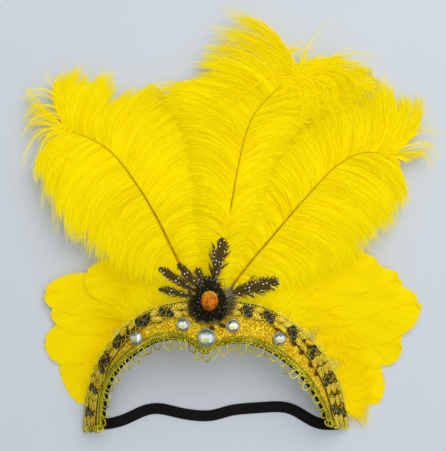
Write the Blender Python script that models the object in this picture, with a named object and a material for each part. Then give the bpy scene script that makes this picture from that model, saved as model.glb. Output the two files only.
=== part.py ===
# A feather headdress lying on its back: the band arches over its two ends, the feathers fan out towards +Y.
# Plan positions in the tables are shares of the named reaches below, with x = 0 at the peak of the brow.
import math

import bpy
import numpy as np

for old in list(bpy.data.objects):
    bpy.data.objects.remove(old, do_unlink=True)

# The band, in metres.
LEFT_REACH = 0.0954
RIGHT_REACH = 0.1106
CROWN_REACH = 0.1058
BAND_RISE = 0.050
BAND_WALL = 0.0020
COVER_WALL = 0.0008
COVER_INSET = 0.0012
PIECE_GAP = 0.0003
ARCH_SHARE = 0.93

# Trims on the band.
BRAID_WIDTH = 0.0038
BRAID_WALL = 0.0013
LOOP_LENGTH = 0.0066
LOOP_WIRE = 0.0011
LOOP_COUNT = 34
LEFT_TRIM_WIDTH = 0.0095
RIGHT_TRIM_WIDTH = 0.0115
TRIM_WALL = 0.0009
SEQUIN_DIAMETER = 0.0064
SEQUIN_WALL = 0.0011
LEAF_LENGTH = 0.0086
LEAF_WIDTH = 0.0040

# Stones.
CENTRE_STONE_DIAMETER = 0.0140
SMALL_STONE_DIAMETER = 0.0098
STONE_HEIGHT_SHARE = 0.34
AMBER_WIDTH = 0.0130
AMBER_LENGTH = 0.0148
AMBER_HEIGHT = 0.0052

# The dark tuft behind the amber stone.
ROSETTE_WIDTH = 0.0300
ROSETTE_LENGTH = 0.0385
ROSETTE_THICKNESS = 0.0045

# Feathers.
PLUME_THICKNESS = 0.0024
GOOSE_THICKNESS = 0.0012
GUINEA_THICKNESS = 0.0012
LAYER_GAP = 0.0008
LEFT_PLUME_REACH = 0.200
CENTRE_PLUME_REACH = 0.240
RIGHT_PLUME_REACH = 0.200
BACK_LEFT_PLUME_REACH = 0.190
BACK_RIGHT_PLUME_REACH = 0.210
GOOSE_REACH = 0.100
GUINEA_REACH = 0.030
DROOP_LENGTH = 0.120

# The elastic between the band's ends.
STRAP_WIDTH = 0.0082
STRAP_WALL = 0.0012
STRAP_WAVE = 0.0173

# Brow and crown edges of the band: x as a share of the reach on that side, y as a share of CROWN_REACH.
BAND_EDGES = (
    # brow x, brow y, crown x, crown y
    (-0.842, 0.040, -1.000, 0.008),
    (-0.832, 0.184, -0.999, 0.121),
    (-0.809, 0.312, -0.972, 0.266),
    (-0.765, 0.412, -0.922, 0.415),
    (-0.694, 0.500, -0.851, 0.556),
    (-0.604, 0.583, -0.760, 0.683),
    (-0.496, 0.658, -0.637, 0.804),
    (-0.383, 0.713, -0.496, 0.904),
    (-0.263, 0.733, -0.343, 0.957),
    (-0.168, 0.721, -0.216, 0.981),
    (-0.097, 0.686, -0.122, 0.992),
    (-0.043, 0.645, -0.050, 0.996),
    (-0.004, 0.630, 0.004, 1.000),
    (0.030, 0.645, 0.051, 1.000),
    (0.084, 0.680, 0.118, 0.996),
    (0.165, 0.703, 0.219, 0.985),
    (0.273, 0.705, 0.341, 0.961),
    (0.382, 0.670, 0.458, 0.916),
    (0.486, 0.609, 0.584, 0.832),
    (0.577, 0.531, 0.692, 0.733),
    (0.663, 0.439, 0.788, 0.622),
    (0.729, 0.345, 0.873, 0.487),
    (0.785, 0.250, 0.934, 0.350),
    (0.819, 0.172, 0.973, 0.205),
    (0.838, 0.088, 1.000, 0.023),
)

# Each plume: its layer from the top, its shaft, and the barb ends on both sides, as shares of its reach from its base.
# Barb ends have the share of the shaft's length that they grow from as a first column.
PLUMES = {
    "ostrich_plume_left": {
        "reach": LEFT_PLUME_REACH,
        "base": (-7.3, 92.4),
        "layer": 1,
        "shaft": (
            (0.000, 0.000), (-0.023, 0.098), (-0.061, 0.202), (-0.100, 0.278), (-0.140, 0.358),
            (-0.206, 0.470), (-0.288, 0.585), (-0.338, 0.641), (-0.382, 0.671), (-0.434, 0.698),
            (-0.493, 0.719), (-0.529, 0.742),
        ),
        "outer": (
            (0.00, -0.014, -0.004), (0.10, -0.045, 0.082), (0.16, -0.106, 0.112), (0.24, -0.215, 0.125),
            (0.32, -0.312, 0.153), (0.40, -0.386, 0.195), (0.48, -0.456, 0.249), (0.56, -0.507, 0.292),
            (0.64, -0.545, 0.362), (0.72, -0.577, 0.432), (0.80, -0.606, 0.494), (0.88, -0.640, 0.557),
            (0.94, -0.667, 0.613), (0.98, -0.690, 0.693), (1.00, -0.683, 0.795),
        ),
        "inner": (
            (0.00, 0.014, 0.004), (0.10, -0.000, 0.098), (0.18, 0.011, 0.180), (0.26, 0.030, 0.274),
            (0.34, 0.037, 0.377), (0.42, 0.024, 0.493), (0.50, -0.000, 0.605), (0.58, -0.036, 0.713),
            (0.66, -0.091, 0.819), (0.74, -0.170, 0.914), (0.80, -0.241, 0.890), (0.86, -0.312, 0.874),
            (0.90, -0.336, 0.906), (0.94, -0.352, 0.953), (0.97, -0.423, 0.969), (0.99, -0.486, 0.985),
            (1.00, -0.572, 0.953),
        ),
    },
    "ostrich_plume_centre": {
        "reach": CENTRE_PLUME_REACH,
        "base": (5.5, 87.5),
        "layer": 0,
        "shaft": (
            (0.000, 0.000), (0.009, 0.078), (0.022, 0.171), (0.041, 0.281), (0.060, 0.389), (0.081, 0.507),
            (0.103, 0.603), (0.126, 0.665), (0.154, 0.705), (0.195, 0.744), (0.227, 0.773), (0.263, 0.803),
        ),
        "outer": (
            (0.00, -0.012, 0.000), (0.10, -0.006, 0.091), (0.20, -0.019, 0.196), (0.28, -0.035, 0.281),
            (0.36, -0.045, 0.376), (0.44, -0.056, 0.463), (0.52, -0.070, 0.550), (0.60, -0.083, 0.623),
            (0.68, -0.096, 0.682), (0.76, -0.090, 0.741), (0.82, -0.070, 0.793), (0.87, -0.064, 0.832),
            (0.91, -0.054, 0.878), (0.95, -0.021, 0.943), (0.98, 0.041, 1.009), (1.00, 0.146, 0.989),
        ),
        "inner": (
            (0.00, 0.012, -0.000), (0.10, 0.028, 0.084), (0.20, 0.078, 0.196), (0.28, 0.117, 0.281),
            (0.36, 0.156, 0.366), (0.44, 0.189, 0.457), (0.52, 0.223, 0.530), (0.60, 0.260, 0.590),
            (0.68, 0.303, 0.636), (0.76, 0.355, 0.669), (0.82, 0.401, 0.708), (0.87, 0.446, 0.747),
            (0.91, 0.479, 0.793), (0.95, 0.453, 0.839), (0.98, 0.355, 0.858), (1.00, 0.283, 0.878),
        ),
    },
    "ostrich_plume_right": {
        "reach": RIGHT_PLUME_REACH,
        "base": (11.5, 84.5),
        "layer": 2,
        "shaft": (
            (0.000, 0.000), (0.011, 0.076), (0.045, 0.166), (0.086, 0.215), (0.118, 0.256), (0.173, 0.317),
            (0.259, 0.417), (0.343, 0.511), (0.432, 0.606), (0.496, 0.654), (0.556, 0.678), (0.603, 0.678),
            (0.666, 0.670),
        ),
        "outer": (
            (0.00, 0.011, -0.004), (0.10, 0.028, 0.072), (0.16, 0.099, 0.113), (0.24, 0.226, 0.125),
            (0.32, 0.329, 0.145), (0.40, 0.432, 0.176), (0.48, 0.517, 0.222), (0.56, 0.587, 0.285),
            (0.64, 0.642, 0.331), (0.72, 0.689, 0.378), (0.80, 0.720, 0.432), (0.88, 0.744, 0.495),
            (0.94, 0.755, 0.566), (0.98, 0.848, 0.678), (1.00, 0.871, 0.774),
        ),
        "inner": (
            (0.00, -0.011, 0.004), (0.08, 0.000, 0.083), (0.18, 0.027, 0.189), (0.26, 0.057, 0.294),
            (0.34, 0.096, 0.390), (0.42, 0.135, 0.486), (0.50, 0.180, 0.581), (0.58, 0.232, 0.678),
            (0.66, 0.300, 0.766), (0.74, 0.384, 0.837), (0.82, 0.479, 0.885), (0.88, 0.566, 0.916),
            (0.92, 0.625, 0.980), (0.95, 0.681, 0.995), (0.98, 0.756, 0.924), (1.00, 0.819, 0.892),
        ),
    },
    "ostrich_plume_back_left": {
        "reach": BACK_LEFT_PLUME_REACH,
        "base": (-1.4, 88.7),
        "layer": 3,
        "shaft": (
            (0.000, 0.000), (0.000, 0.088), (-0.017, 0.287), (-0.051, 0.490), (-0.099, 0.701), (-0.138, 0.844),
            (-0.154, 0.920),
        ),
        "outer": (
            (0.00, -0.012, -0.000), (0.10, -0.016, 0.088), (0.28, -0.073, 0.239), (0.42, -0.131, 0.376),
            (0.55, -0.190, 0.507), (0.68, -0.248, 0.641), (0.80, -0.296, 0.760), (0.90, -0.330, 0.861),
            (0.96, -0.322, 0.928), (1.00, -0.255, 0.966),
        ),
        "inner": (
            (0.00, 0.012, 0.000), (0.10, 0.016, 0.088), (0.28, 0.028, 0.239), (0.42, 0.040, 0.376),
            (0.55, 0.039, 0.507), (0.68, 0.034, 0.641), (0.80, 0.030, 0.760), (0.90, 0.013, 0.869),
            (0.96, -0.012, 0.945), (1.00, -0.096, 0.970),
        ),
    },
    "ostrich_plume_back_right": {
        "reach": BACK_RIGHT_PLUME_REACH,
        "base": (19.9, 86.7),
        "layer": 4,
        "shaft": (
            (0.000, 0.000), (0.007, 0.080), (0.044, 0.225), (0.112, 0.409), (0.201, 0.595), (0.283, 0.752),
            (0.355, 0.859), (0.412, 0.920),
        ),
        "outer": (
            (0.00, -0.010, 0.000), (0.10, -0.002, 0.084), (0.30, 0.022, 0.225), (0.42, 0.052, 0.360),
            (0.54, 0.091, 0.499), (0.66, 0.130, 0.637), (0.78, 0.169, 0.768), (0.87, 0.215, 0.866),
            (0.94, 0.275, 0.950), (1.00, 0.374, 0.988),
        ),
        "inner": (
            (0.00, 0.010, -0.000), (0.10, 0.022, 0.080), (0.30, 0.110, 0.224), (0.42, 0.193, 0.320),
            (0.54, 0.274, 0.424), (0.66, 0.366, 0.530), (0.78, 0.452, 0.630), (0.87, 0.519, 0.722),
            (0.94, 0.572, 0.813), (0.98, 0.572, 0.889), (1.00, 0.504, 0.965),
        ),
    },
}

# Side feathers: base and tip as shares of the band's reaches, half widths as shares of GOOSE_REACH, and the layer.
GOOSE_FEATHERS = {
    # base x, base y, tip x, tip y, half width towards the plumes, half width towards the band's end, layer
    "goose_feather_left_1": (-0.36, 0.905, -1.000, 1.18, 0.180, 0.190, 5),
    "goose_feather_left_2": (-0.46, 0.85, -1.345, 1.03, 0.200, 0.180, 7),
    "goose_feather_left_3": (-0.56, 0.765, -1.250, 0.83, 0.180, 0.160, 8),
    "goose_feather_left_4": (-0.66, 0.645, -1.345, 0.650, 0.170, 0.200, 9),
    "goose_feather_left_5": (-0.74, 0.53, -1.175, 0.27, 0.260, 0.130, 10),
    "goose_feather_right_1": (0.40, 0.85, 0.930, 1.47, 0.190, 0.210, 5),
    "goose_feather_right_2": (0.52, 0.77, 1.200, 1.30, 0.190, 0.200, 6),
    "goose_feather_right_3": (0.61, 0.70, 1.390, 1.14, 0.190, 0.200, 7),
    "goose_feather_right_4": (0.69, 0.62, 1.505, 0.97, 0.230, 0.220, 8),
    "goose_feather_right_5": (0.76, 0.53, 1.395, 0.58, 0.210, 0.240, 9),
    "goose_feather_right_6": (0.82, 0.43, 1.235, 0.12, 0.260, 0.070, 10),
}

GOOSE_OUTLINE = (
    # share of the length, share of the half width
    (0.00, 0.07), (0.17, 0.07), (0.26, 0.42), (0.42, 0.84), (0.62, 1.00), (0.80, 0.92), (0.93, 0.62), (1.00, 0.20),
)

# Small spotted feathers round the rosette: base and tip in shares of the rosette's length from its middle.
GUINEA_FEATHERS = {
    # angle of the feather from +X in degrees, start and end as shares of GUINEA_REACH, half width share
    "guinea_feather_1": (131.0, 0.42, 1.20, 0.09),
    "guinea_feather_2": (147.5, 0.42, 1.50, 0.10),
    "guinea_feather_3": (168.0, 0.42, 1.30, 0.10),
    "guinea_feather_4": (110.0, 0.52, 0.90, 0.09),
    "guinea_feather_5": (78.0, 0.52, 1.58, 0.16),
    "guinea_feather_6": (15.5, 0.44, 1.80, 0.18),
}

GUINEA_OUTLINE = ((0.00, 0.25), (0.22, 0.45), (0.45, 0.90), (0.65, 1.00), (0.85, 0.72), (1.00, 0.20))

# Centre line of the elastic: x as a share of the reach on that side, y as a share of STRAP_WAVE.
STRAP_LINE = (
    (-0.955, 0.05), (-0.880, 0.18), (-0.705, 0.42), (-0.600, 0.72), (-0.525, 0.90), (-0.428, 0.93), (-0.282, 0.80),
    (-0.150, 0.63), (0.006, 0.54), (0.118, 0.68), (0.274, 0.96), (0.420, 1.04), (0.540, 1.00), (0.640, 0.86),
    (0.742, 0.44), (0.800, 0.22), (0.880, 0.10), (0.955, 0.02),
)

# Stones: x share of the reach, y share of CROWN_REACH, diameter, and 1 where the stone overhangs the trim.
STONES = {
    "rhinestone_centre": (0.006, 0.745, CENTRE_STONE_DIAMETER, 0),
    "rhinestone_left_inner": (-0.171, 0.834, SMALL_STONE_DIAMETER, 0),
    "rhinestone_left_outer": (-0.536, 0.728, SMALL_STONE_DIAMETER, 1),
    "rhinestone_right_inner": (0.183, 0.826, SMALL_STONE_DIAMETER, 0),
    "rhinestone_right_outer": (0.492, 0.728, SMALL_STONE_DIAMETER, 1),
}

ROSETTE_CENTRE = (0.027, 1.010)


def material(name, colour, rough, metallic=0.0):
    made = bpy.data.materials.new(name)
    made.use_nodes = True
    shader = made.node_tree.nodes["Principled BSDF"]
    shader.inputs["Base Color"].default_value = (*colour, 1.0)
    shader.inputs["Roughness"].default_value = rough
    shader.inputs["Metallic"].default_value = metallic
    return made


MATERIALS = {
    "band": material("band", (0.010, 0.010, 0.010), 0.9),
    "cover": material("cover", (0.830, 0.430, 0.012), 0.45),
    "braid": material("braid", (0.560, 0.440, 0.080), 0.35, 0.6),
    "trim": material("trim", (0.330, 0.270, 0.070), 0.3, 0.6),
    "stone": material("stone", (0.820, 0.840, 0.860), 0.08, 0.3),
    "amber": material("amber", (0.780, 0.220, 0.008), 0.08),
    "rosette": material("rosette", (0.030, 0.020, 0.012), 0.85),
    "guinea": material("guinea", (0.035, 0.032, 0.030), 0.7),
    "plume": material("plume", (0.940, 0.760, 0.005), 0.7),
    "goose": material("goose", (0.900, 0.640, 0.005), 0.6),
    "elastic": material("elastic", (0.008, 0.008, 0.008), 0.85),
}


def make_object(name, points, faces, kind):
    mesh = bpy.data.meshes.new(name)
    mesh.from_pydata([tuple(map(float, p)) for p in points], [], [tuple(map(int, f)) for f in faces])
    mesh.validate()
    mesh.materials.append(MATERIALS[kind])
    made = bpy.data.objects.new(name, mesh)
    bpy.context.scene.collection.objects.link(made)
    return made


def side_reach(share):
    return LEFT_REACH if share < 0 else RIGHT_REACH


def plan_x(share):
    return share * side_reach(share)


def arch_height(x):
    # Height of the band's outer face over the line through its ends.
    half = np.where(x < 0, LEFT_REACH, RIGHT_REACH) / ARCH_SHARE
    low = math.sqrt(1 - ARCH_SHARE**2)
    rise = BAND_RISE / (1 - low)
    share = np.abs(x) / half
    inside = rise * (np.sqrt(np.maximum(1 - np.minimum(share, ARCH_SHARE) ** 2, 0)) - low)
    return inside - rise * ARCH_SHARE / low * np.maximum(share - ARCH_SHARE, 0)


def arch_normal(x):
    step = 1e-4
    slope = (arch_height(x + step) - arch_height(x - step)) / (2 * step)
    length = np.sqrt(1 + slope**2)
    return -slope / length, 1 / length


def on_arch(x, y, offset):
    # The point at this offset from the band's outer face, along its normal.
    nx, nz = arch_normal(x)
    return np.stack([x + nx * offset, y + 0 * x, arch_height(x) + nz * offset], axis=-1)


def resampled(line, count, curve=1.0):
    line = np.asarray(line, float)
    along = np.concatenate([[0], np.cumsum(np.linalg.norm(np.diff(line, axis=0), axis=1))])
    wanted = np.linspace(0, 1, count) ** curve * along[-1]
    return np.stack([np.interp(wanted, along, line[:, i]) for i in range(line.shape[1])], axis=-1)


def smooth(share):
    share = np.clip(share, 0, 1)
    return share * share * (3 - 2 * share)


def grid_solid(name, top, bottom, kind):
    # top and bottom are grids of points with the same rows and columns; row by column faces +Z up.
    rows, columns = top.shape[:2]
    points = np.concatenate([top.reshape(-1, 3), bottom.reshape(-1, 3)])
    under = rows * columns
    faces = []
    for i in range(rows - 1):
        for j in range(columns - 1):
            a = i * columns + j
            b = a + columns
            faces.append((a, a + 1, b + 1, b))
            faces.append((under + a, under + b, under + b + 1, under + a + 1))
    rim = [j for j in range(columns)]
    rim += [i * columns + columns - 1 for i in range(1, rows)]
    rim += [(rows - 1) * columns + j for j in range(columns - 2, -1, -1)]
    rim += [i * columns for i in range(rows - 2, 0, -1)]
    for a, b in zip(rim, rim[1:] + rim[:1]):
        faces.append((b, a, under + a, under + b))
    area = 0.0
    for a, b in zip(rim, rim[1:] + rim[:1]):
        area += points[a][0] * points[b][1] - points[b][0] * points[a][1]
    if area < 0:
        faces = [face[::-1] for face in faces]
    return make_object(name, points, faces, kind)


BROW = np.array([(plan_x(row[0]), row[1] * CROWN_REACH) for row in BAND_EDGES])
CROWN = np.array([(plan_x(row[2]), row[3] * CROWN_REACH) for row in BAND_EDGES])
END_X = np.array([-LEFT_REACH, RIGHT_REACH])
FLOOR = float(on_arch(END_X, 0 * END_X, -BAND_WALL)[:, 2].min())


def band_rows(start, end, count):
    # Brow and crown points at even steps along the band, between two shares of its length.
    fine_brow = resampled(BROW, 401)
    fine_crown = resampled(CROWN, 401)
    at = np.linspace(start, end, count) * 400
    index = np.arange(401)
    brow = np.stack([np.interp(at, index, fine_brow[:, i]) for i in range(2)], axis=-1)
    crown = np.stack([np.interp(at, index, fine_crown[:, i]) for i in range(2)], axis=-1)
    return brow, crown


def band_strip(start, end, count, low, high, across, offset):
    # A grid on the band; low and high are distances in from the brow edge and from the crown edge.
    brow, crown = band_rows(start, end, count)
    width = np.linalg.norm(on_arch(crown[:, 0], crown[:, 1], 0) - on_arch(brow[:, 0], brow[:, 1], 0), axis=1)
    first = low(width)
    last = high(width)
    share = np.linspace(0, 1, across)[None, :]
    v = (first[:, None] * (1 - share) + last[:, None] * share)[..., None]
    plan = brow[:, None, :] * (1 - v) + crown[:, None, :] * v
    return on_arch(plan[..., 0], plan[..., 1], offset)


def build_band():
    full = {"low": lambda width: 0 * width, "high": lambda width: 0 * width + 1}
    top = band_strip(0, 1, 25, full["low"], full["high"], 4, 0)
    bottom = band_strip(0, 1, 25, full["low"], full["high"], 4, -BAND_WALL)
    grid_solid("brow_band", top, bottom, "band")
    inset = {"low": lambda width: COVER_INSET / width, "high": lambda width: 1 - COVER_INSET / width}
    top = band_strip(0.01, 0.99, 25, inset["low"], inset["high"], 4, PIECE_GAP + COVER_WALL)
    bottom = band_strip(0.01, 0.99, 25, inset["low"], inset["high"], 4, PIECE_GAP)
    grid_solid("band_cover", top, bottom, "cover")


ON_COVER = 2 * PIECE_GAP + COVER_WALL


def build_braid():
    # Three stations to a loop: one foot, the space between the feet, the other foot.
    steps = 3 * LOOP_COUNT + 1
    low = lambda width: 0 * width + 0.02
    high = lambda width: BRAID_WIDTH / width
    grid_top = band_strip(0.012, 0.988, steps, low, high, 2, ON_COVER + BRAID_WALL)
    grid_bottom = band_strip(0.012, 0.988, steps, low, high, 2, ON_COVER)
    points = []
    index = {}
    for i in range(steps):
        for key, grid, j in (("ti", grid_top, 0), ("to", grid_top, 1), ("bi", grid_bottom, 0), ("bo", grid_bottom, 1)):
            index[key, i] = len(points)
            points.append(grid[i, j])
    faces = []
    for i in range(steps - 1):
        faces.append((index["ti", i], index["to", i], index["to", i + 1], index["ti", i + 1]))
        faces.append((index["bi", i], index["bi", i + 1], index["bo", i + 1], index["bo", i]))
        faces.append((index["to", i], index["bo", i], index["bo", i + 1], index["to", i + 1]))
        if i % 3 == 1:
            faces.append((index["ti", i], index["ti", i + 1], index["bi", i + 1], index["bi", i]))
    last = steps - 1
    faces.append((index["ti", 0], index["bi", 0], index["bo", 0], index["to", 0]))
    faces.append((index["ti", last], index["to", last], index["bo", last], index["bi", last]))
    # Shares of the loop's half width and length, from foot to foot.
    shape = ((-0.62, 0.30), (-1.00, 0.66), (0.00, 1.00), (1.00, 0.66), (0.62, 0.30))
    for loop in range(LOOP_COUNT):
        first = 3 * loop
        foot = (points[index["ti", first]] + points[index["ti", first + 3]]) / 2
        side = points[index["ti", first + 3]] - points[index["ti", first]]
        half = np.linalg.norm(side) / 2
        side = side / (2 * half)
        inward = points[index["ti", first]] - points[index["to", first]]
        inward = inward + points[index["ti", first + 3]] - points[index["to", first + 3]]
        inward = inward - side * inward.dot(side)
        inward = inward / np.linalg.norm(inward)
        up = np.cross(inward, side)
        up = up if up[2] > 0 else -up
        middle = foot - up * (BRAID_WALL / 2)
        line = [middle + side * (half * 0.86) * a + inward * LOOP_LENGTH * b for a, b in shape]
        rings = [(index["ti", first], index["ti", first + 1], index["bi", first + 1], index["bi", first])]
        for i, centre in enumerate(line):
            before = line[i - 1] if i else centre - inward
            after = line[i + 1] if i < len(line) - 1 else centre - inward
            ahead = (after - before) / np.linalg.norm(after - before)
            across = np.cross(up, ahead)
            across = across / np.linalg.norm(across)
            corners = []
            for a, b in ((-1, 1), (1, 1), (1, -1), (-1, -1)):
                corners.append(len(points))
                points.append(centre + (across * a + up * b) * (LOOP_WIRE / 2))
            rings.append(tuple(corners))
        rings.append((index["ti", first + 3], index["ti", first + 2], index["bi", first + 2], index["bi", first + 3]))
        for one, two in zip(rings, rings[1:]):
            for a in range(4):
                b = (a + 1) % 4
                faces.append((one[a], one[b], two[b], two[a]))
    made = make_object("lower_braid", points, faces, "braid")
    face_out(made)


def face_out(made):
    import bmesh

    cells = bmesh.new()
    cells.from_mesh(made.data)
    bmesh.ops.recalc_face_normals(cells, faces=cells.faces)
    cells.to_mesh(made.data)
    cells.free()


def frame_at(x, y, offset, turn):
    # Origin, and the two tangent axes turned in the surface, and the normal there.
    origin = on_arch(np.float64(x), np.float64(y), offset)
    nx, nz = arch_normal(np.float64(x))
    normal = np.array([float(nx), 0.0, float(nz)])
    right = np.array([float(nz), 0.0, -float(nx)])
    ahead = np.array([0.0, 1.0, 0.0])
    c, s = math.cos(turn), math.sin(turn)
    return origin, right * c + ahead * s, ahead * c - right * s, normal


def ringed(frame, rings, start=0.0):
    # Closed solid from rings of (half length, half width, height, turn share) about a frame's normal.
    origin, right, ahead, normal = frame
    count = rings[0][4]
    points = []
    for half_length, half_width, height, turn, _ in rings:
        for i in range(count):
            angle = start + 2 * math.pi * (i + turn) / count
            points.append(
                origin + right * half_length * math.cos(angle) + ahead * half_width * math.sin(angle) + normal * height
            )
    faces = [tuple(range(count))[::-1]]
    for r in range(len(rings) - 1):
        for i in range(count):
            a, b = r * count + i, r * count + (i + 1) % count
            c, d = a + count, b + count
            if rings[r + 1][3] > rings[r][3]:
                faces += [(a, b, c), (b, d, c)]
            else:
                faces += [(a, b, d), (a, d, c)]
    faces.append(tuple((len(rings) - 1) * count + i for i in range(count)))
    return points, faces


def near_stone(x, y, reach):
    # True where a lump of this reach would meet a stone.
    for x_share, y_share, diameter, _ in STONES.values():
        if math.hypot(x - plan_x(x_share), y - y_share * CROWN_REACH) < diameter / 2 + reach + PIECE_GAP:
            return True
    return False


def build_trim(name, start, end, repeats, trim_width):
    low = lambda width: 1 - trim_width / width
    high = lambda width: 0 * width + 0.975
    count = 2 * repeats + 2
    top = band_strip(start, end, count, low, high, 3, ON_COVER + TRIM_WALL)
    bottom = band_strip(start, end, count, low, high, 3, ON_COVER)
    strip = grid_solid(name, top, bottom, "trim")
    points = []
    faces = []

    def add(made):
        base = len(points)
        points.extend(made[0])
        faces.extend([tuple(base + i for i in face) for face in made[1]])

    brow, crown = band_rows(start, end, 2 * repeats + 1)
    width = np.linalg.norm(on_arch(crown[:, 0], crown[:, 1], 0) - on_arch(brow[:, 0], brow[:, 1], 0), axis=1)
    radius = SEQUIN_DIAMETER / 2
    for i in range(1, 2 * repeats):
        along = crown[min(i + 1, 2 * repeats)] - crown[i - 1]
        turn = math.atan2(along[1], along[0])

        def spot(inset):
            v = 1 - inset / width[i]
            return brow[i] * (1 - v) + crown[i] * v

        if i % 2:
            for inset, lift in ((trim_width * 0.30, 0.0), (trim_width * 0.72, 0.35)):
                x, y = spot(inset)
                if near_stone(x, y, radius):
                    continue
                frame = frame_at(x, y, ON_COVER + TRIM_WALL * 0.5 + lift * SEQUIN_WALL, turn)
                rings = (
                    (radius, radius, 0.0, 0.0, 7),
                    (radius, radius, SEQUIN_WALL, 0.0, 7),
                )
                add(ringed(frame, rings))
        else:
            for inset, lean in ((trim_width * 0.34, 0.5), (trim_width * 0.70, -0.5)):
                x, y = spot(inset)
                if near_stone(x, y, LEAF_LENGTH / 2):
                    continue
                frame = frame_at(x, y, ON_COVER + TRIM_WALL * 0.4, turn + lean)
                half, side = LEAF_LENGTH / 2, LEAF_WIDTH / 2
                rings = (
                    (half, side, 0.0, 0.0, 6),
                    (half * 0.55, side * 0.45, TRIM_WALL * 1.9, 0.0, 6),
                )
                add(ringed(frame, rings))
    lumps = make_object(name + "_lumps", points, faces, "trim")
    lumps.hide_render = True
    lumps.display_type = "WIRE"
    join = strip.modifiers.new("join", "BOOLEAN")
    join.operation = "UNION"
    join.solver = "EXACT"
    join.use_self = True
    join.object = lumps


def build_stones():
    for name, (x_share, y_share, diameter, overhangs) in STONES.items():
        radius = diameter / 2
        height = diameter * STONE_HEIGHT_SHARE
        frame = frame_at(plan_x(x_share), y_share * CROWN_REACH, ON_COVER, 0.0)
        lift = (TRIM_WALL + PIECE_GAP) * overhangs
        rings = [
            (radius, radius, lift, 0.0, 10),
            (radius, radius, lift + height * 0.30, 0.0, 10),
            (radius * 0.90, radius * 0.90, lift + height * 0.42, 0.0, 10),
            (radius * 0.86, radius * 0.86, lift + height * 0.38, 0.0, 10),
            (radius * 0.70, radius * 0.70, lift + height * 0.78, 0.5, 10),
            (radius * 0.46, radius * 0.46, lift + height, 1.0, 10),
        ]
        if overhangs:
            rings.insert(0, (radius * 0.30, radius * 0.30, lift, 0.0, 10))
            rings.insert(0, (radius * 0.30, radius * 0.30, 0.0, 0.0, 10))
        points, faces = ringed(frame, rings)
        make_object(name, points, faces, "stone")
    x, y = plan_x(ROSETTE_CENTRE[0]), ROSETTE_CENTRE[1] * CROWN_REACH
    origin, right, ahead, normal = frame_at(x, y, ROSETTE_BASE + ROSETTE_THICKNESS + PIECE_GAP, 0.0)
    half, side = AMBER_WIDTH / 2, AMBER_LENGTH / 2
    rings = (
        (half * 0.92, side * 0.92, 0.0, 0.0, 12),
        (half, side, AMBER_HEIGHT * 0.25, 0.0, 12),
        (half * 0.97, side * 0.97, AMBER_HEIGHT * 0.42, 0.0, 12),
        (half * 0.78, side * 0.78, AMBER_HEIGHT * 0.82, 0.5, 12),
        (half * 0.52, side * 0.52, AMBER_HEIGHT, 1.0, 12),
    )
    points, faces = ringed((origin, right, ahead, normal), rings)
    make_object("amber_stone", points, faces, "amber")


GUINEA_BASE = ON_COVER + TRIM_WALL + SEQUIN_WALL + PIECE_GAP
ROSETTE_BASE = GUINEA_BASE + GUINEA_THICKNESS + PIECE_GAP


def build_rosette():
    # A teardrop with a tufted rim, its point towards the plumes.
    x, y = plan_x(ROSETTE_CENTRE[0]), ROSETTE_CENTRE[1] * CROWN_REACH
    origin = np.array([x, y, float(arch_height(np.float64(0.0)))])
    count = 30
    levels = (
        (0.58, ON_COVER),
        (0.58, ROSETTE_BASE),
        (0.86, ROSETTE_BASE),
        (1.00, ROSETTE_BASE + ROSETTE_THICKNESS * 0.35),
        (0.93, ROSETTE_BASE + ROSETTE_THICKNESS * 0.72),
        (0.70, ROSETTE_BASE + ROSETTE_THICKNESS),
    )
    points = []
    for share, lift in levels:
        for i in range(count):
            angle = 2 * math.pi * i / count
            tuft = 0.86 if i % 2 and share > 0.9 else 1.0
            reach = share * tuft
            taper = 1 - 0.30 * max(0.0, math.sin(angle)) ** 2
            points.append(
                origin
                + np.array([
                    math.cos(angle) * reach * taper * ROSETTE_WIDTH / 2,
                    (math.sin(angle) * 0.5 + 0.06 * math.sin(angle) ** 3) * reach * ROSETTE_LENGTH * 0.95,
                    lift,
                ])
            )
    faces = [tuple(range(count))[::-1]]
    for r in range(len(levels) - 1):
        for i in range(count):
            a, b = r * count + i, r * count + (i + 1) % count
            faces.append((a, b, b + count, a + count))
    faces.append(tuple((len(levels) - 1) * count + i for i in range(count)))
    make_object("rosette_pad", points, faces, "rosette")


def build_guinea():
    x, y = plan_x(ROSETTE_CENTRE[0]), ROSETTE_CENTRE[1] * CROWN_REACH
    level = float(arch_height(np.float64(0.0))) + GUINEA_BASE
    for name, (angle, start, end, half) in GUINEA_FEATHERS.items():
        turn = math.radians(angle)
        ahead = np.array([math.cos(turn), math.sin(turn)])
        side = np.array([-ahead[1], ahead[0]])
        top = []
        bottom = []
        for along, width in GUINEA_OUTLINE:
            middle = np.array([x, y]) + ahead * GUINEA_REACH * (start + (end - start) * along)
            rise = level + 0.0015 * math.sin(math.pi * along)
            row_top, row_bottom = [], []
            for r in (-1, 0, 1):
                plan = middle + side * r * width * half * GUINEA_REACH
                row_top.append((*plan, rise + GUINEA_THICKNESS * (1.0 if r == 0 else 0.7)))
                row_bottom.append((*plan, rise))
            top.append(row_top)
            bottom.append(row_bottom)
        grid_solid(name, np.array(top), np.array(bottom), "guinea")


PLUME_LAYERS = 5
GOOSE_LAYERS = 6
PLUME_PITCH = PLUME_THICKNESS + LAYER_GAP
GOOSE_PITCH = GOOSE_THICKNESS + LAYER_GAP
PILE = PLUME_LAYERS * PLUME_PITCH + GOOSE_LAYERS * GOOSE_PITCH


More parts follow.
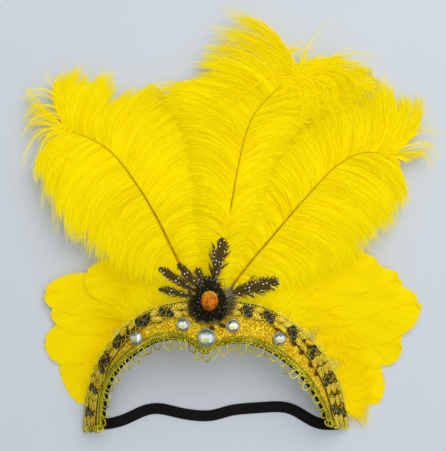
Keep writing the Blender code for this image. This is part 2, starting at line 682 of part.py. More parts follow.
def feather_roof(x, y):
    # The height that the whole pile of feathers hangs below, from the band down to the floor.
    past = smooth((y - CROWN_REACH * 1.6) / (DROOP_LENGTH * 0.6))
    rest = FLOOR + PILE - GOOSE_LAYERS * GOOSE_PITCH * past
    over = arch_height(np.clip(x, -LEFT_REACH, RIGHT_REACH)) - BAND_WALL * 1.4 - PIECE_GAP - rest
    fade = 1 - smooth((y - CROWN_REACH) / DROOP_LENGTH)
    return rest + 0.5 * (over + np.sqrt(over**2 + 0.004**2)) * fade


def layer_depth(layer):
    plumes = min(layer, PLUME_LAYERS - 1) + 1
    goose = max(layer - PLUME_LAYERS + 1, 0)
    return plumes * PLUME_PITCH + goose * GOOSE_PITCH


def under_band(x, thickness):
    nx, nz = arch_normal(x)
    return arch_height(x) - (BAND_WALL + PIECE_GAP) / nz - thickness - PIECE_GAP


def vane(name, plan, layer, thickness, tuck, relief, kind):
    # plan: rows of points from base to tip, the shaft in the middle column.
    rows, columns = plan.shape[:2]
    middle = columns // 2
    shaft = plan[:, middle]
    run = np.concatenate([[0], np.cumsum(np.linalg.norm(np.diff(shaft, axis=0), axis=1))])
    x, y = plan[..., 0], plan[..., 1]
    level = feather_roof(x, y) - layer_depth(layer)
    start = float(under_band(np.float64(shaft[0, 0]), thickness * 0.7))
    tie = np.clip(1 - run / tuck, 0, 1)[:, None]
    bottom_z = level * (1 - tie) + start * tie
    across = np.abs(np.linspace(-1, 1, columns))[None, :]
    body = np.clip(run / tuck, 0, 1)[:, None]
    thick = thickness * (0.62 + 0.38 * body * (1 - across**2))
    thick = thick * (1 - relief * (np.arange(rows) % 2)[:, None] * across)
    bottom = np.stack([x, y, bottom_z], axis=-1)
    top = np.stack([x, y, bottom_z + thick], axis=-1)
    grid_solid(name, top, bottom, kind)


def barb_ends(table, rows):
    at = np.linspace(0, 1, rows)
    return np.stack([np.interp(at, table[:, 0], table[:, i]) for i in (1, 2)], axis=-1)


def build_plumes():
    rows = 21
    for number, (name, plume) in enumerate(PLUMES.items()):
        reach = plume["reach"]
        base_x, base_y = plume["base"]
        base = np.array([plan_x(base_x / 100), base_y / 105.8 * CROWN_REACH])
        shaft = resampled(np.array(plume["shaft"]) * reach + base, rows)
        outer, inner = (barb_ends(np.array(plume[side]), rows) * reach + base for side in ("outer", "inner"))
        plan = np.empty((rows, 7, 2))
        for i in range(rows):
            free = min(1.0, max(0.0, (i - 2) / 4))
            deep = 0.0
            if i % 2 and i < rows - 1:
                deep = free * (0.13 + 0.10 * abs(math.sin(1.7 * i + number)))
                deep = deep * min(1.0, (rows - i) / 5)
            for j in range(7):
                r = abs(j - 3) / 3
                edge = outer[i] if j < 3 else inner[i]
                plan[i, j] = shaft[i] + (edge - shaft[i]) * r * (1 - deep * r)
        vane(name, plan, plume["layer"], PLUME_THICKNESS, 0.020, 0.35, "plume")


def build_goose():
    for name, (base_x, base_y, tip_x, tip_y, near, far, layer) in GOOSE_FEATHERS.items():
        base = np.array([plan_x(base_x), base_y * CROWN_REACH])
        tip = np.array([plan_x(tip_x), tip_y * CROWN_REACH])
        ahead = tip - base
        side = np.array([-ahead[1], ahead[0]]) / np.linalg.norm(ahead)
        if base_x < 0:
            side = -side
        plan = []
        for along, share in GOOSE_OUTLINE:
            middle = base + ahead * along
            middle = middle + side * GOOSE_REACH * 0.05 * math.sin(math.pi * along)
            row = []
            for r in (-1.0, -0.5, 0.0, 0.5, 1.0):
                half = (near if r > 0 else far) * GOOSE_REACH
                half = max(half * share, 0.0014)
                row.append(middle + side * half * r)
            plan.append(row)
        tuck = 0.19 * float(np.linalg.norm(ahead))
        vane(name, np.array(plan), layer, GOOSE_THICKNESS, tuck, 0.0, "goose")


def build_strap():
    line = np.array([(plan_x(x), y * STRAP_WAVE) for x, y in STRAP_LINE])
    line = resampled(line, 20)
    ahead = np.gradient(line, axis=0)
    ahead = ahead / np.linalg.norm(ahead, axis=1)[:, None]
    side = np.stack([-ahead[:, 1], ahead[:, 0]], axis=-1)
    rows = np.stack([line - side * STRAP_WIDTH / 2, line + side * STRAP_WIDTH / 2], axis=1)
    bottom = np.concatenate([rows, np.full((*rows.shape[:2], 1), FLOOR)], axis=-1)
    top = np.concatenate([rows, np.full((*rows.shape[:2], 1), FLOOR + STRAP_WALL)], axis=-1)
    grid_solid("elastic_strap", top, bottom, "elastic")


def centre_all():
    # Everything hangs from an empty that puts the middle of the base at the origin.
    bpy.context.view_layer.update()
    graph = bpy.context.evaluated_depsgraph_get()
    corners = []
    for made in bpy.data.objects:
        if made.type == "MESH" and not made.hide_render:
            mesh = made.evaluated_get(graph).to_mesh()
            points = np.empty(len(mesh.vertices) * 3, np.float32)
            mesh.vertices.foreach_get("co", points)
            points = points.reshape(-1, 3)
            corners += [points.min(axis=0), points.max(axis=0)]
            made.evaluated_get(graph).to_mesh_clear()
    low, high = np.min(corners, axis=0), np.max(corners, axis=0)
    middle = (low + high) / 2
    holder = bpy.data.objects.new("holder", None)
    bpy.context.scene.collection.objects.link(holder)
    holder.location = (-float(middle[0]), -float(middle[1]), -float(low[2]))
    for made in bpy.data.objects:
        if made.type == "MESH":
            made.parent = holder
    print("origin shift in mm:", [round(float(v) * 1000, 2) for v in (middle[0], middle[1], low[2])])


build_band()
build_braid()
build_trim("sequin_trim_left", 0.015, 0.455, 6, LEFT_TRIM_WIDTH)
build_trim("sequin_trim_right", 0.545, 0.985, 6, RIGHT_TRIM_WIDTH)
build_stones()
build_rosette()
build_guinea()
build_plumes()
build_goose()
build_strap()
centre_all()
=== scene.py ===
import math

import bpy
import numpy as np
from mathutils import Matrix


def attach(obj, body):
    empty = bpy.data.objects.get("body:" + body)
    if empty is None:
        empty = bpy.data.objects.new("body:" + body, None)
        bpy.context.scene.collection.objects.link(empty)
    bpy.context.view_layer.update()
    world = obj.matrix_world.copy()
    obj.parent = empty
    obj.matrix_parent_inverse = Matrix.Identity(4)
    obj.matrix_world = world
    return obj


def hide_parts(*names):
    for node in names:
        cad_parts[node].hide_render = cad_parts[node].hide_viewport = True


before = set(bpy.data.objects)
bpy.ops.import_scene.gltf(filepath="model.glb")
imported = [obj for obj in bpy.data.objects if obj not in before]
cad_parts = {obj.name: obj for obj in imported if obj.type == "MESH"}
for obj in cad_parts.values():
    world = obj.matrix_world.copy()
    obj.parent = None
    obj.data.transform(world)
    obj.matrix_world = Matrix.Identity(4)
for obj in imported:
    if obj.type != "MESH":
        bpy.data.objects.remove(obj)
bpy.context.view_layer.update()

# All shapes below are worked out in millimetres from the middle of the brow line, and placed in the frame at the end.
frameShift = np.array([21.68, 160.59, -1.02])


def place(points):
    return (np.asarray(points, float) - frameShift) / 1000


# Shaders: sums and products of values, and one method that makes every other node.


class Value:
    def __init__(self, finish, socket):
        self.finish = finish
        self.socket = socket

    def math(self, operation, *others, clamp=False):
        sockets = dict(enumerate((self, *others)))
        return self.finish.node("ShaderNodeMath", {"operation": operation, "use_clamp": clamp}, sockets)

    def __add__(self, other):
        return self.math("ADD", other)

    def __sub__(self, other):
        return self.math("SUBTRACT", other)

    def __rsub__(self, other):
        return self.finish.node("ShaderNodeMath", {"operation": "SUBTRACT"}, {0: other, 1: self})

    def __mul__(self, other):
        return self.math("MULTIPLY", other)

    def __truediv__(self, other):
        return self.math("DIVIDE", other)

    __radd__ = __add__
    __rmul__ = __mul__

    def between(self, low, high):
        # 0 below low, 1 above high
        return ((self - low) / (high - low)).math("ADD", 0.0, clamp=True)

    def wave(self):
        return self.math("SINE") * 0.5 + 0.5


class Finish:
    def __init__(self, name, **constants):
        self.material = bpy.data.materials.new(name)
        self.material.use_nodes = True
        self.tree = self.material.node_tree
        self.tree.nodes.clear()
        self.shader = self.tree.nodes.new("ShaderNodeBsdfPrincipled")
        output = self.tree.nodes.new("ShaderNodeOutputMaterial")
        self.tree.links.new(self.shader.outputs[0], output.inputs[0])
        for socket, value in constants.items():
            self.shader.inputs[socket.replace("_", " ")].default_value = value

    def node(self, kind, settings=None, sockets=None, out=0):
        made = self.tree.nodes.new(kind)
        for key, value in (settings or {}).items():
            if key == "stops":
                ramp = made.color_ramp
                while len(ramp.elements) < len(value):
                    ramp.elements.new(0.5)
                for element, (at, colour) in zip(ramp.elements, value):
                    element.position = at
                    element.color = (*colour, 1)
            else:
                setattr(made, key, value)
        for key, value in (sockets or {}).items():
            if isinstance(value, Value):
                self.tree.links.new(value.socket, made.inputs[key])
            else:
                made.inputs[key].default_value = value
        return Value(self, made.outputs[out])

    def mix(self, factor, first, second):
        first = first if isinstance(first, Value) else (*first, 1)
        second = second if isinstance(second, Value) else (*second, 1)
        return self.node("ShaderNodeMix", {"data_type": "RGBA"}, {0: factor, 6: first, 7: second}, 2)

    def ramp(self, value, *stops):
        return self.node("ShaderNodeValToRGB", {"stops": stops}, {0: value})

    def read(self, name):
        return self.node("ShaderNodeAttribute", {"attribute_name": name}, out=2)

    def spot(self):
        return self.node("ShaderNodeTexCoord", out=3)

    def stretched(self, x, y):
        return self.node("ShaderNodeCombineXYZ", None, {0: x, 1: y})

    def noise(self, vector, scale, detail=2.0, rough=0.5):
        sockets = {"Vector": vector, "Scale": scale, "Detail": detail, "Roughness": rough}
        return self.node("ShaderNodeTexNoise", None, sockets)

    def cells(self, vector, scale, out=0, random=1.0):
        sockets = {"Vector": vector, "Scale": scale, "Randomness": random}
        return self.node("ShaderNodeTexVoronoi", None, sockets, out)

    def bump(self, height, strength, distance):
        return self.node("ShaderNodeBump", None, {"Height": height, "Strength": strength, "Distance": distance})

    def feed(self, **links):
        for socket, value in links.items():
            self.tree.links.new(value.socket, self.shader.inputs[socket.replace("_", " ")])
        return self


# Meshes from arrays.


def unit(vectors):
    return vectors / np.maximum(np.linalg.norm(vectors, axis=-1, keepdims=True), 1e-9)


def withHeight(plan, height):
    return np.concatenate([plan, height[..., None]], axis=-1)


def leftOf(ahead):
    return np.stack([-ahead[..., 1], ahead[..., 0]], axis=-1)


def roundTurn(sides):
    return np.arange(sides) * 2 * math.pi / sides


def oval(turn, reachX, reachY, height):
    return np.stack([np.cos(turn) * reachX, np.sin(turn) * reachY, height + 0 * turn], axis=-1)


def linked(name, data):
    made = bpy.data.objects.new(name, data)
    bpy.context.scene.collection.objects.link(made)
    return made


class Shape:
    # Gathers arrays of points and quads, with two numbers for each point: its shade and its place along the strand.
    def __init__(self):
        self.points, self.quads, self.shades, self.alongs, self.kinds, self.flats = [], [], [], [], [], []
        self.count = 0

    def add(self, points, quads, shade=0.5, along=0.0, kind=0, flat=False):
        points = np.asarray(points, float).reshape(-1, 3)
        quads = np.asarray(quads, int).reshape(-1, 4)
        self.points.append(points)
        self.quads.append(quads + self.count)
        self.shades.append(np.broadcast_to(np.asarray(shade, float).reshape(-1), (len(points),)))
        self.alongs.append(np.broadcast_to(np.asarray(along, float).reshape(-1), (len(points),)))
        self.kinds.append(np.full(len(quads), kind))
        self.flats.append(np.full(len(quads), flat))
        self.count += len(points)

    def made(self, name, finishes, slot, *nodes):
        points = place(np.concatenate(self.points))
        quads = np.concatenate(self.quads)
        kinds = np.concatenate(self.kinds)
        flats = np.concatenate(self.flats)
        triangle = quads[:, 2] == quads[:, 3]
        order = np.argsort(triangle, kind="stable")
        quads, kinds, flats, triangle = quads[order], kinds[order], flats[order], triangle[order]
        corners = np.where(triangle, 3, 4)
        keep = np.ones(quads.shape, bool)
        keep[triangle, 3] = False
        mesh = bpy.data.meshes.new(name)
        mesh.vertices.add(len(points))
        mesh.vertices.foreach_set("co", points.astype(np.float32).ravel())
        mesh.loops.add(int(corners.sum()))
        mesh.loops.foreach_set("vertex_index", quads[keep].astype(np.int32))
        mesh.polygons.add(len(quads))
        mesh.polygons.foreach_set("loop_start", np.concatenate([[0], np.cumsum(corners)[:-1]]).astype(np.int32))
        mesh.polygons.foreach_set("material_index", kinds.astype(np.int32))
        mesh.polygons.foreach_set("use_smooth", ~flats)
        mesh.update(calc_edges=True)
        mesh.validate()
        for label, values in (("shade", self.shades), ("along", self.alongs)):
            layer = mesh.attributes.new(label, "FLOAT", "POINT")
            layer.data.foreach_set("value", np.concatenate(values).astype(np.float32))
        for finish in finishes:
            mesh.materials.append(finish.material)
        made = linked(name, mesh)
        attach(made, "root")
        if nodes:
            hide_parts(*nodes)
        return made


def gridQuads(rows, columns, closed=False):
    wide = columns if closed else columns - 1
    i, j = np.meshgrid(np.arange(rows - 1), np.arange(wide), indexing="ij")
    a = i * columns + j
    b = i * columns + (j + 1) % columns
    return np.stack([a, b, b + columns, a + columns], axis=-1).reshape(-1, 4)


def repeated(quads, size, count):
    return (quads[None] + (np.arange(count) * size)[:, None, None]).reshape(-1, 4)


def acrossPaths(paths, up=(0.0, 0.0, 1.0)):
    # Two directions square to each path, at each of its steps.
    ahead = unit(np.gradient(paths, axis=1))
    side = unit(np.cross(ahead, np.broadcast_to(np.asarray(up, float), ahead.shape)))
    return side, np.cross(side, ahead)


def ribbons(shape, paths, width, roll, taper, shade, kind=0, along=None):
    # paths: strands by steps by xyz; shade one number, one to a strand, or one to a step
    count, steps = paths.shape[:2]
    side, above = acrossPaths(paths)
    roll = np.broadcast_to(np.asarray(roll, float).reshape(count, -1, 1), (count, steps, 1))
    across = side * np.cos(roll) + above * np.sin(roll)
    half = (np.broadcast_to(width, (count,))[:, None] * np.asarray(taper)[None, :] / 2)[..., None]
    points = np.stack([paths - across * half, paths + across * half], axis=2)
    along = np.linspace(0, 1, steps)[None, :] if along is None else along
    along = np.broadcast_to(along[..., None], (count, steps, 2))
    shade = np.asarray(shade, float)
    shade = shade.reshape(count, -1, 1) if shade.ndim else shade
    shade = np.broadcast_to(shade, (count, steps, 2))
    shape.add(points, repeated(gridQuads(steps, 2), steps * 2, count), shade, along, kind)


def wisps(shape, paths, rng, width, turning, taper, tones, kind=0):
    # Ribbons turned at random about their paths, each of its own shade.
    count = len(paths)
    ribbons(shape, paths, width, rng.normal(0, turning, count), taper, rng.uniform(*tones, count), kind)


def tubes(shape, paths, radius, sides=6, shade=0.5, kind=0, up=(0.0, 0.0, 1.0)):
    # paths: tubes by steps by xyz, radius a number or tubes by steps
    count, steps = paths.shape[:2]
    side, above = acrossPaths(paths, up)
    turn = roundTurn(sides)[:, None]
    radius = np.broadcast_to(np.asarray(radius, float), (count, steps))[..., None, None]
    ring = side[:, :, None] * np.cos(turn) + above[:, :, None] * np.sin(turn)
    points = paths[:, :, None] + ring * radius
    along = np.broadcast_to(np.linspace(0, 1, steps)[None, :, None], (count, steps, sides))
    shade = np.broadcast_to(np.asarray(shade, float).reshape(-1, 1, 1), (count, steps, sides))
    shape.add(points, repeated(gridQuads(steps, sides, True)[:, ::-1], steps * sides, count), shade, along, kind)


def twisted(shape, paths, radius, pitch, up, shade=0.5, kind=0, sides=5):
    # Two thin cords wound round each path.
    side, above = acrossPaths(paths, up)
    step = np.linalg.norm(np.diff(paths, axis=1), axis=-1)
    run = np.concatenate([np.zeros((len(paths), 1)), np.cumsum(step, axis=1)], axis=1)
    for start in (0, math.pi):
        turn = (run / pitch * 2 * math.pi + start)[..., None]
        wound = paths + (side * np.cos(turn) + above * np.sin(turn)) * radius * 0.5
        tubes(shape, wound, radius * 0.62, sides, shade, kind, up)


def lineRun(line):
    return np.concatenate([[0], np.cumsum(np.linalg.norm(np.diff(line, axis=0), axis=1))])


def evenLine(line, count, soften=0):
    line = np.asarray(line, float)
    run = lineRun(line)
    at = np.linspace(0, run[-1], count)
    even = np.stack([np.interp(at, run, line[:, i]) for i in range(line.shape[1])], axis=-1)
    if soften:
        ends = [2 * even[0] - even[soften:0:-1], even, 2 * even[-1] - even[-2 : -soften - 2 : -1]]
        padded = np.concatenate(ends)
        kernel = np.hanning(2 * soften + 3)[1:-1]
        kernel = kernel / kernel.sum()
        even = np.stack([np.convolve(padded[:, i], kernel, "valid") for i in range(even.shape[1])], axis=-1)
    return even


def pick(table, at):
    # Values at shares 0 to 1 of an evenly spaced table.
    index = np.linspace(0, 1, len(table))
    return np.stack([np.interp(at, index, table[:, i]) for i in range(table.shape[1])], axis=-1)


def smooth(share):
    share = np.clip(share, 0, 1)
    return share * share * (3 - 2 * share)


# Where things lie: the band's arch, and the pile of feathers under it.

lie = {"leftReach": 95.4, "rightReach": 110.6, "crownReach": 105.8, "rise": 50.0, "archShare": 0.93, "floor": -1.02}
pile = {"rest": 28.0, "fall": 12.0, "fallSpan": 72.0, "fadeSpan": 120.0, "under": 3.1}
layers = {"plumes": 4, "plumeStep": 3.2, "sideStep": 2.0}
archLow = math.sqrt(1 - lie["archShare"] ** 2)
archRise = lie["rise"] / (1 - archLow)


def planX(share):
    share = np.asarray(share, float)
    return share * np.where(share < 0, lie["leftReach"], lie["rightReach"])


def archHeight(x):
    x = np.asarray(x, float)
    share = np.abs(x) / np.where(x < 0, lie["leftReach"], lie["rightReach"]) * lie["archShare"]
    inside = archRise * (np.sqrt(np.maximum(1 - np.minimum(share, lie["archShare"]) ** 2, 0)) - archLow)
    return inside - archRise * lie["archShare"] / archLow * np.maximum(share - lie["archShare"], 0)


def archNormal(x):
    slope = (archHeight(np.asarray(x) + 0.1) - archHeight(np.asarray(x) - 0.1)) / 0.2
    length = np.sqrt(1 + slope**2)
    return np.stack([-slope / length, 0 * slope, 1 / length], axis=-1)


def onArch(plan, offset):
    # Points over the band at an offset from its outer face.
    plan = np.asarray(plan, float)
    outward = archNormal(plan[..., 0])
    offset = np.broadcast_to(np.asarray(offset, float), plan.shape[:-1])[..., None]
    return withHeight(plan, archHeight(plan[..., 0])) + outward * offset


def featherRoof(x, y):
    past = smooth((y - lie["crownReach"] * 1.6) / pile["fallSpan"])
    rest = lie["floor"] + pile["rest"] - pile["fall"] * past
    over = archHeight(np.clip(x, -lie["leftReach"], lie["rightReach"])) - pile["under"] - rest
    fade = 1 - smooth((y - lie["crownReach"]) / pile["fadeSpan"])
    return rest + 0.5 * (over + np.sqrt(over**2 + 16)) * fade


def layerLevel(x, y, layer):
    last = layers["plumes"]
    down = (min(layer, last) + 1) * layers["plumeStep"] + max(layer - last, 0) * layers["sideStep"]
    return featherRoof(x, y) - down


def underBand(x, thick):
    feltDepth, gap = 2.3, 0.3
    return float(archHeight(x) - feltDepth / archNormal(x)[..., 2] - thick - gap)


def raised(plan, height, least=0.5):
    # Plan points with their heights, none of them lower over the floor than the least.
    return withHeight(plan, np.maximum(height, lie["floor"] + least))


# Band: its edges as shares of the reach on each side and of the crown's reach.

bandEdges = np.array([
    # brow x, brow y, crown x, crown y
    (-0.842, 0.040, -1.000, 0.008), (-0.832, 0.184, -0.999, 0.121), (-0.809, 0.312, -0.972, 0.266),
    (-0.765, 0.412, -0.922, 0.415), (-0.694, 0.500, -0.851, 0.556), (-0.604, 0.583, -0.760, 0.683),
    (-0.496, 0.658, -0.637, 0.804), (-0.383, 0.713, -0.496, 0.904), (-0.263, 0.733, -0.343, 0.957),
    (-0.168, 0.721, -0.216, 0.981), (-0.097, 0.686, -0.122, 0.992), (-0.043, 0.645, -0.050, 0.996),
    (-0.004, 0.630, 0.004, 1.000), (0.030, 0.645, 0.051, 1.000), (0.084, 0.680, 0.118, 0.996),
    (0.165, 0.703, 0.219, 0.985), (0.273, 0.705, 0.341, 0.961), (0.382, 0.670, 0.458, 0.916),
    (0.486, 0.609, 0.584, 0.832), (0.577, 0.531, 0.692, 0.733), (0.663, 0.439, 0.788, 0.622),
    (0.729, 0.345, 0.873, 0.487), (0.785, 0.250, 0.934, 0.350), (0.819, 0.172, 0.973, 0.205),
    (0.838, 0.088, 1.000, 0.023),
])
edgeRows = 801
onCover = 1.4


def edgeLine(x, y):
    return evenLine(np.stack([planX(x), y * lie["crownReach"]], axis=-1), edgeRows, 10)


browLine = edgeLine(bandEdges[:, 0], bandEdges[:, 1])
crownLine = edgeLine(bandEdges[:, 2], bandEdges[:, 3])


def bandWidth(share):
    return np.linalg.norm(onArch(pick(crownLine, share), 0) - onArch(pick(browLine, share), 0), axis=-1)


def onBand(share, across, offset):
    # share along the band from its left end, across 0 at the brow edge and 1 at the crown edge, both arrays
    share, across = np.broadcast_arrays(np.asarray(share, float), np.asarray(across, float))
    flat = share.ravel()
    brow, crown = pick(browLine, flat), pick(crownLine, flat)
    plan = brow + (crown - brow) * across.ravel()[:, None]
    offset = np.broadcast_to(np.asarray(offset, float), share.shape).ravel()
    return onArch(plan, offset).reshape(*share.shape, 3)


def closedStrip(shape, rows, kind=0, shade=0.5):
    # rows of points round a strip, with the ends drawn shut
    start, end = (row.mean(axis=1, keepdims=True) + 0 * row for row in (rows[:1], rows[-1:]))
    points = np.concatenate([start, rows, end])
    along = np.broadcast_to(np.linspace(0, 1, len(points))[:, None], points.shape[:2])
    shade = np.broadcast_to(shade, points.shape[:2])
    shape.add(points, gridQuads(*points.shape[:2], True), shade, along, kind)


def stripRing(across, bottom, top):
    # across from 0 to 1 over the top and back below, with rounded edges: places across, and offsets
    edge = np.linspace(-0.5, 0.5, 5)[1:-1] * math.pi
    up = np.linspace(0, 1, across)
    middle, half = (bottom + top) / 2, (top - bottom) / 2
    places = [up, 1 + 0 * edge, up[::-1], 0 * edge]
    proud = [0 * up, np.cos(edge), 0 * up, -np.cos(edge)]
    offsets = [top + 0 * up, middle - half * np.sin(edge), bottom + 0 * up, middle + half * np.sin(edge)]
    return np.concatenate(places), np.concatenate(proud) * half, np.concatenate(offsets)


# Finishes of the band and its trim.

felt = Finish("black felt", Roughness=0.95, Sheen_Weight=0.08, Sheen_Roughness=0.6, Specular_IOR_Level=0.08)
fuzz = felt.noise(felt.spot(), 900.0, 4.0, 0.7)
felt.feed(Base_Color=felt.mix(fuzz, (0.003, 0.003, 0.003), (0.014, 0.013, 0.012)), Normal=felt.bump(fuzz, 0.6, 0.0004))

coverCloth = Finish("sparkling mesh", Specular_IOR_Level=0.05)
spot = coverCloth.spot()
knot = coverCloth.cells(spot, 1000.0, 0)
fleck = coverCloth.cells(spot, 1150.0, 1)
hue = coverCloth.node("ShaderNodeSeparateColor", None, {0: fleck})
spark = hue.between(0.66, 0.84)
warmth = coverCloth.noise(spot, 60.0, 3.0)
base = coverCloth.ramp(warmth, (0.30, (0.66, 0.34, 0.0005)), (0.55, (0.82, 0.47, 0.0005)), (0.75, (0.92, 0.60, 0.001)))
base = coverCloth.mix(knot.between(0.30, 0.70) * 0.8, base, (0.36, 0.19, 0.003))
base = coverCloth.mix(spark, base, (1.0, 0.80, 0.05))
coverCloth.feed(
    Base_Color=base,
    Metallic=spark * 0.30,
    Roughness=0.72 - spark * 0.40,
    Normal=coverCloth.bump(knot, 0.7, 0.0005),
)


def threadFinish(name, dark, middle, light, metallic, rough):
    made = Finish(name, Specular_IOR_Level=0.12)
    spot = made.spot()
    glint = made.noise(spot, 700.0, 3.0, 0.65)
    patch = made.noise(spot, 90.0, 2.0)
    tone = glint * 0.7 + made.read("shade") * 0.4 + patch * 0.3 - 0.22
    return made.feed(
        Base_Color=made.ramp(tone, (0.30, dark), (0.50, middle), (0.72, light)),
        Metallic=glint * 0.3 + metallic,
        Roughness=rough + patch * 0.2,
        Normal=made.bump(glint, 0.5, 0.0003),
    )


gimp = threadFinish("olive gold gimp", (0.060, 0.048, 0.003), (0.40, 0.34, 0.012), (0.92, 0.82, 0.06), 0.35, 0.30)
trimNet = threadFinish("trim net", (0.030, 0.011, 0.001), (0.22, 0.10, 0.001), (0.80, 0.46, 0.004), 0.15, 0.45)
goldCord = threadFinish("gold cord", (0.14, 0.10, 0.003), (0.58, 0.49, 0.015), (0.98, 0.90, 0.08), 0.35, 0.28)
paleCord = threadFinish("bright gold cord", (0.08, 0.040, 0.001), (0.80, 0.52, 0.006), (1.0, 0.90, 0.16), 0.30, 0.26)
sequin = Finish("olive bronze sequin", Roughness=0.34, Specular_IOR_Level=0.20)
tone = sequin.read("shade") + sequin.noise(sequin.spot(), 240.0, 2.0) * 0.3 - 0.15
sequin.feed(
    Base_Color=sequin.ramp(
        tone, (0.15, (0.020, 0.016, 0.005)), (0.5, (0.080, 0.070, 0.022)), (0.9, (0.33, 0.30, 0.13)),
    ),
    Metallic=tone * 0.3 + 0.25,
    Normal=sequin.bump(sequin.noise(sequin.spot(), 500.0, 2.0), 0.25, 0.0003),
)


def stoneFinish(name, *stops):
    # Foil-backed cut glass: every facet has its own painted shade, standing in for the reflections it shows.
    made = Finish(name, Roughness=0.07, Specular_IOR_Level=0.8, Coat_Weight=1.0, Coat_Roughness=0.02, IOR=1.6)
    shade = made.read("shade")
    reflectionMottle = made.noise(made.spot(), 260.0, 1.0)
    return made.feed(Base_Color=made.ramp(shade * 0.85 + reflectionMottle * 0.2 - 0.03, *stops), Metallic=shade * 0.4 + 0.35)


clearStone = stoneFinish(
    "clear stone", (0.0, (0.010, 0.018, 0.016)), (0.28, (0.13, 0.18, 0.165)), (0.40, (0.34, 0.40, 0.36)),
    (0.47, (0.70, 0.62, 0.05)), (0.56, (0.74, 0.70, 0.20)), (0.66, (0.62, 0.70, 0.74)), (0.9, (0.92, 0.97, 1.0)),
)
# the amber glows a little with its own colour: a painted glow standing in for light that passes through it
amberStone = Finish("amber stone", Roughness=0.16, Specular_IOR_Level=0.14, Emission_Strength=0.06)
amberTone = amberStone.ramp(
    amberStone.read("shade"), (0.0, (0.20, 0.035, 0.0002)), (0.35, (0.40, 0.085, 0.0002)),
    (0.60, (0.66, 0.18, 0.0004)), (0.80, (0.50, 0.24, 0.003)), (1.0, (0.95, 0.72, 0.08)),
)
amberStone.feed(Base_Color=amberTone, Emission_Color=amberTone)
garnet = Finish("garnet sequin", Roughness=0.30, Specular_IOR_Level=0.2)
garnet.feed(
    Base_Color=garnet.ramp(
        garnet.read("shade"), (0.0, (0.022, 0.006, 0.001)), (0.6, (0.10, 0.024, 0.001)), (1.0, (0.34, 0.10, 0.003)),
    ),
)
silverRim = threadFinish("silver rim", (0.10, 0.10, 0.10), (0.42, 0.42, 0.40), (0.85, 0.84, 0.80), 0.65, 0.15)

# Band, cover and lower braid.

bandLook = {"rows": 180, "across": 10}
coverLook = {"across": 18, "hem": 1.2, "pucker": 0.14}
braidLook = {
    "start": 0.012, "end": 0.988, "rows": 1000, "across": 8, "width": 5.6, "ribs": 190,
    "cordWidth": 0.42, "cordRows": 900, "cordPitch": 1.7, "cordLift": 1.0,
}
loopLook = {"count": 36, "length": 6.8, "wire": 0.60, "pitch": 1.7, "seed": 5}


def buildBand():
    share = np.linspace(0, 1, bandLook["rows"])[:, None]
    places, proud, offsets = stripRing(bandLook["across"], -2.0, 0.0)
    places = places[None] + proud[None] / bandWidth(share[:, 0])[:, None]
    shape = Shape()
    closedStrip(shape, onBand(share, places, offsets[None]))
    shape.made("felt_band", (felt,), "band", "brow_band")

    share = np.linspace(0.008, 0.992, bandLook["rows"])[:, None]
    places, proud, offsets = stripRing(coverLook["across"], 0.3, 1.1)
    width = bandWidth(share[:, 0])[:, None]
    hem = coverLook["hem"]
    places = hem / width + places[None] * (1 - 2 * hem / width) + proud[None] / width
    waves = np.sin(share * 190 + places * 7) * np.sin(places * 9 + share * 31)
    shape = Shape()
    closedStrip(shape, onBand(share, places, offsets[None] + coverLook["pucker"] * waves * (offsets[None] > 0.8)))
    cover = shape.made("mesh_cover", (coverCloth,), "cover", "band_cover")
    print("stage: band and cover")


def loopLines(shares, reach, half, length, offset, rng, steps=26):
    # Picot loops that stand out from an edge; reach is -1 past the brow edge and 1 past the crown edge.
    edge = 0.0 if reach < 0 else 1.0
    width = bandWidth(shares)
    foot = onBand(shares, edge, offset)
    inner = onBand(shares, edge - reach * 3 / width, offset)
    outward = unit(foot - inner)
    beside = onBand(shares + 0.002, edge, offset) - onBand(shares - 0.002, edge, offset)
    beside = unit(beside - outward * np.sum(beside * outward, axis=-1, keepdims=True))
    up = np.cross(outward, beside)
    up = up * np.sign(up[:, 2:3])
    turn = np.linspace(-1, 1, steps)[None, :]
    bulge = np.sin(turn * math.pi * 0.86) * (0.86 + 0.14 * np.cos(turn * math.pi))
    rise = (np.cos(turn * math.pi) * 0.5 + 0.5) ** 0.8
    lean = rng.normal(0, 0.26, (len(shares), 1))
    stretch = rng.uniform(0.74, 1.14, (len(shares), 1))
    x = (bulge * half + rise * lean * length * 0.5)[..., None]
    y = (rise * (length + 1.2) * stretch - 1.2)[..., None]
    z = (0.25 * np.sin(turn * 3.2) + rise * rng.normal(0, 0.35, (len(shares), 1)))[..., None]
    return foot[:, None] + beside[:, None] * x + outward[:, None] * y + up[:, None] * z, up[:, None]


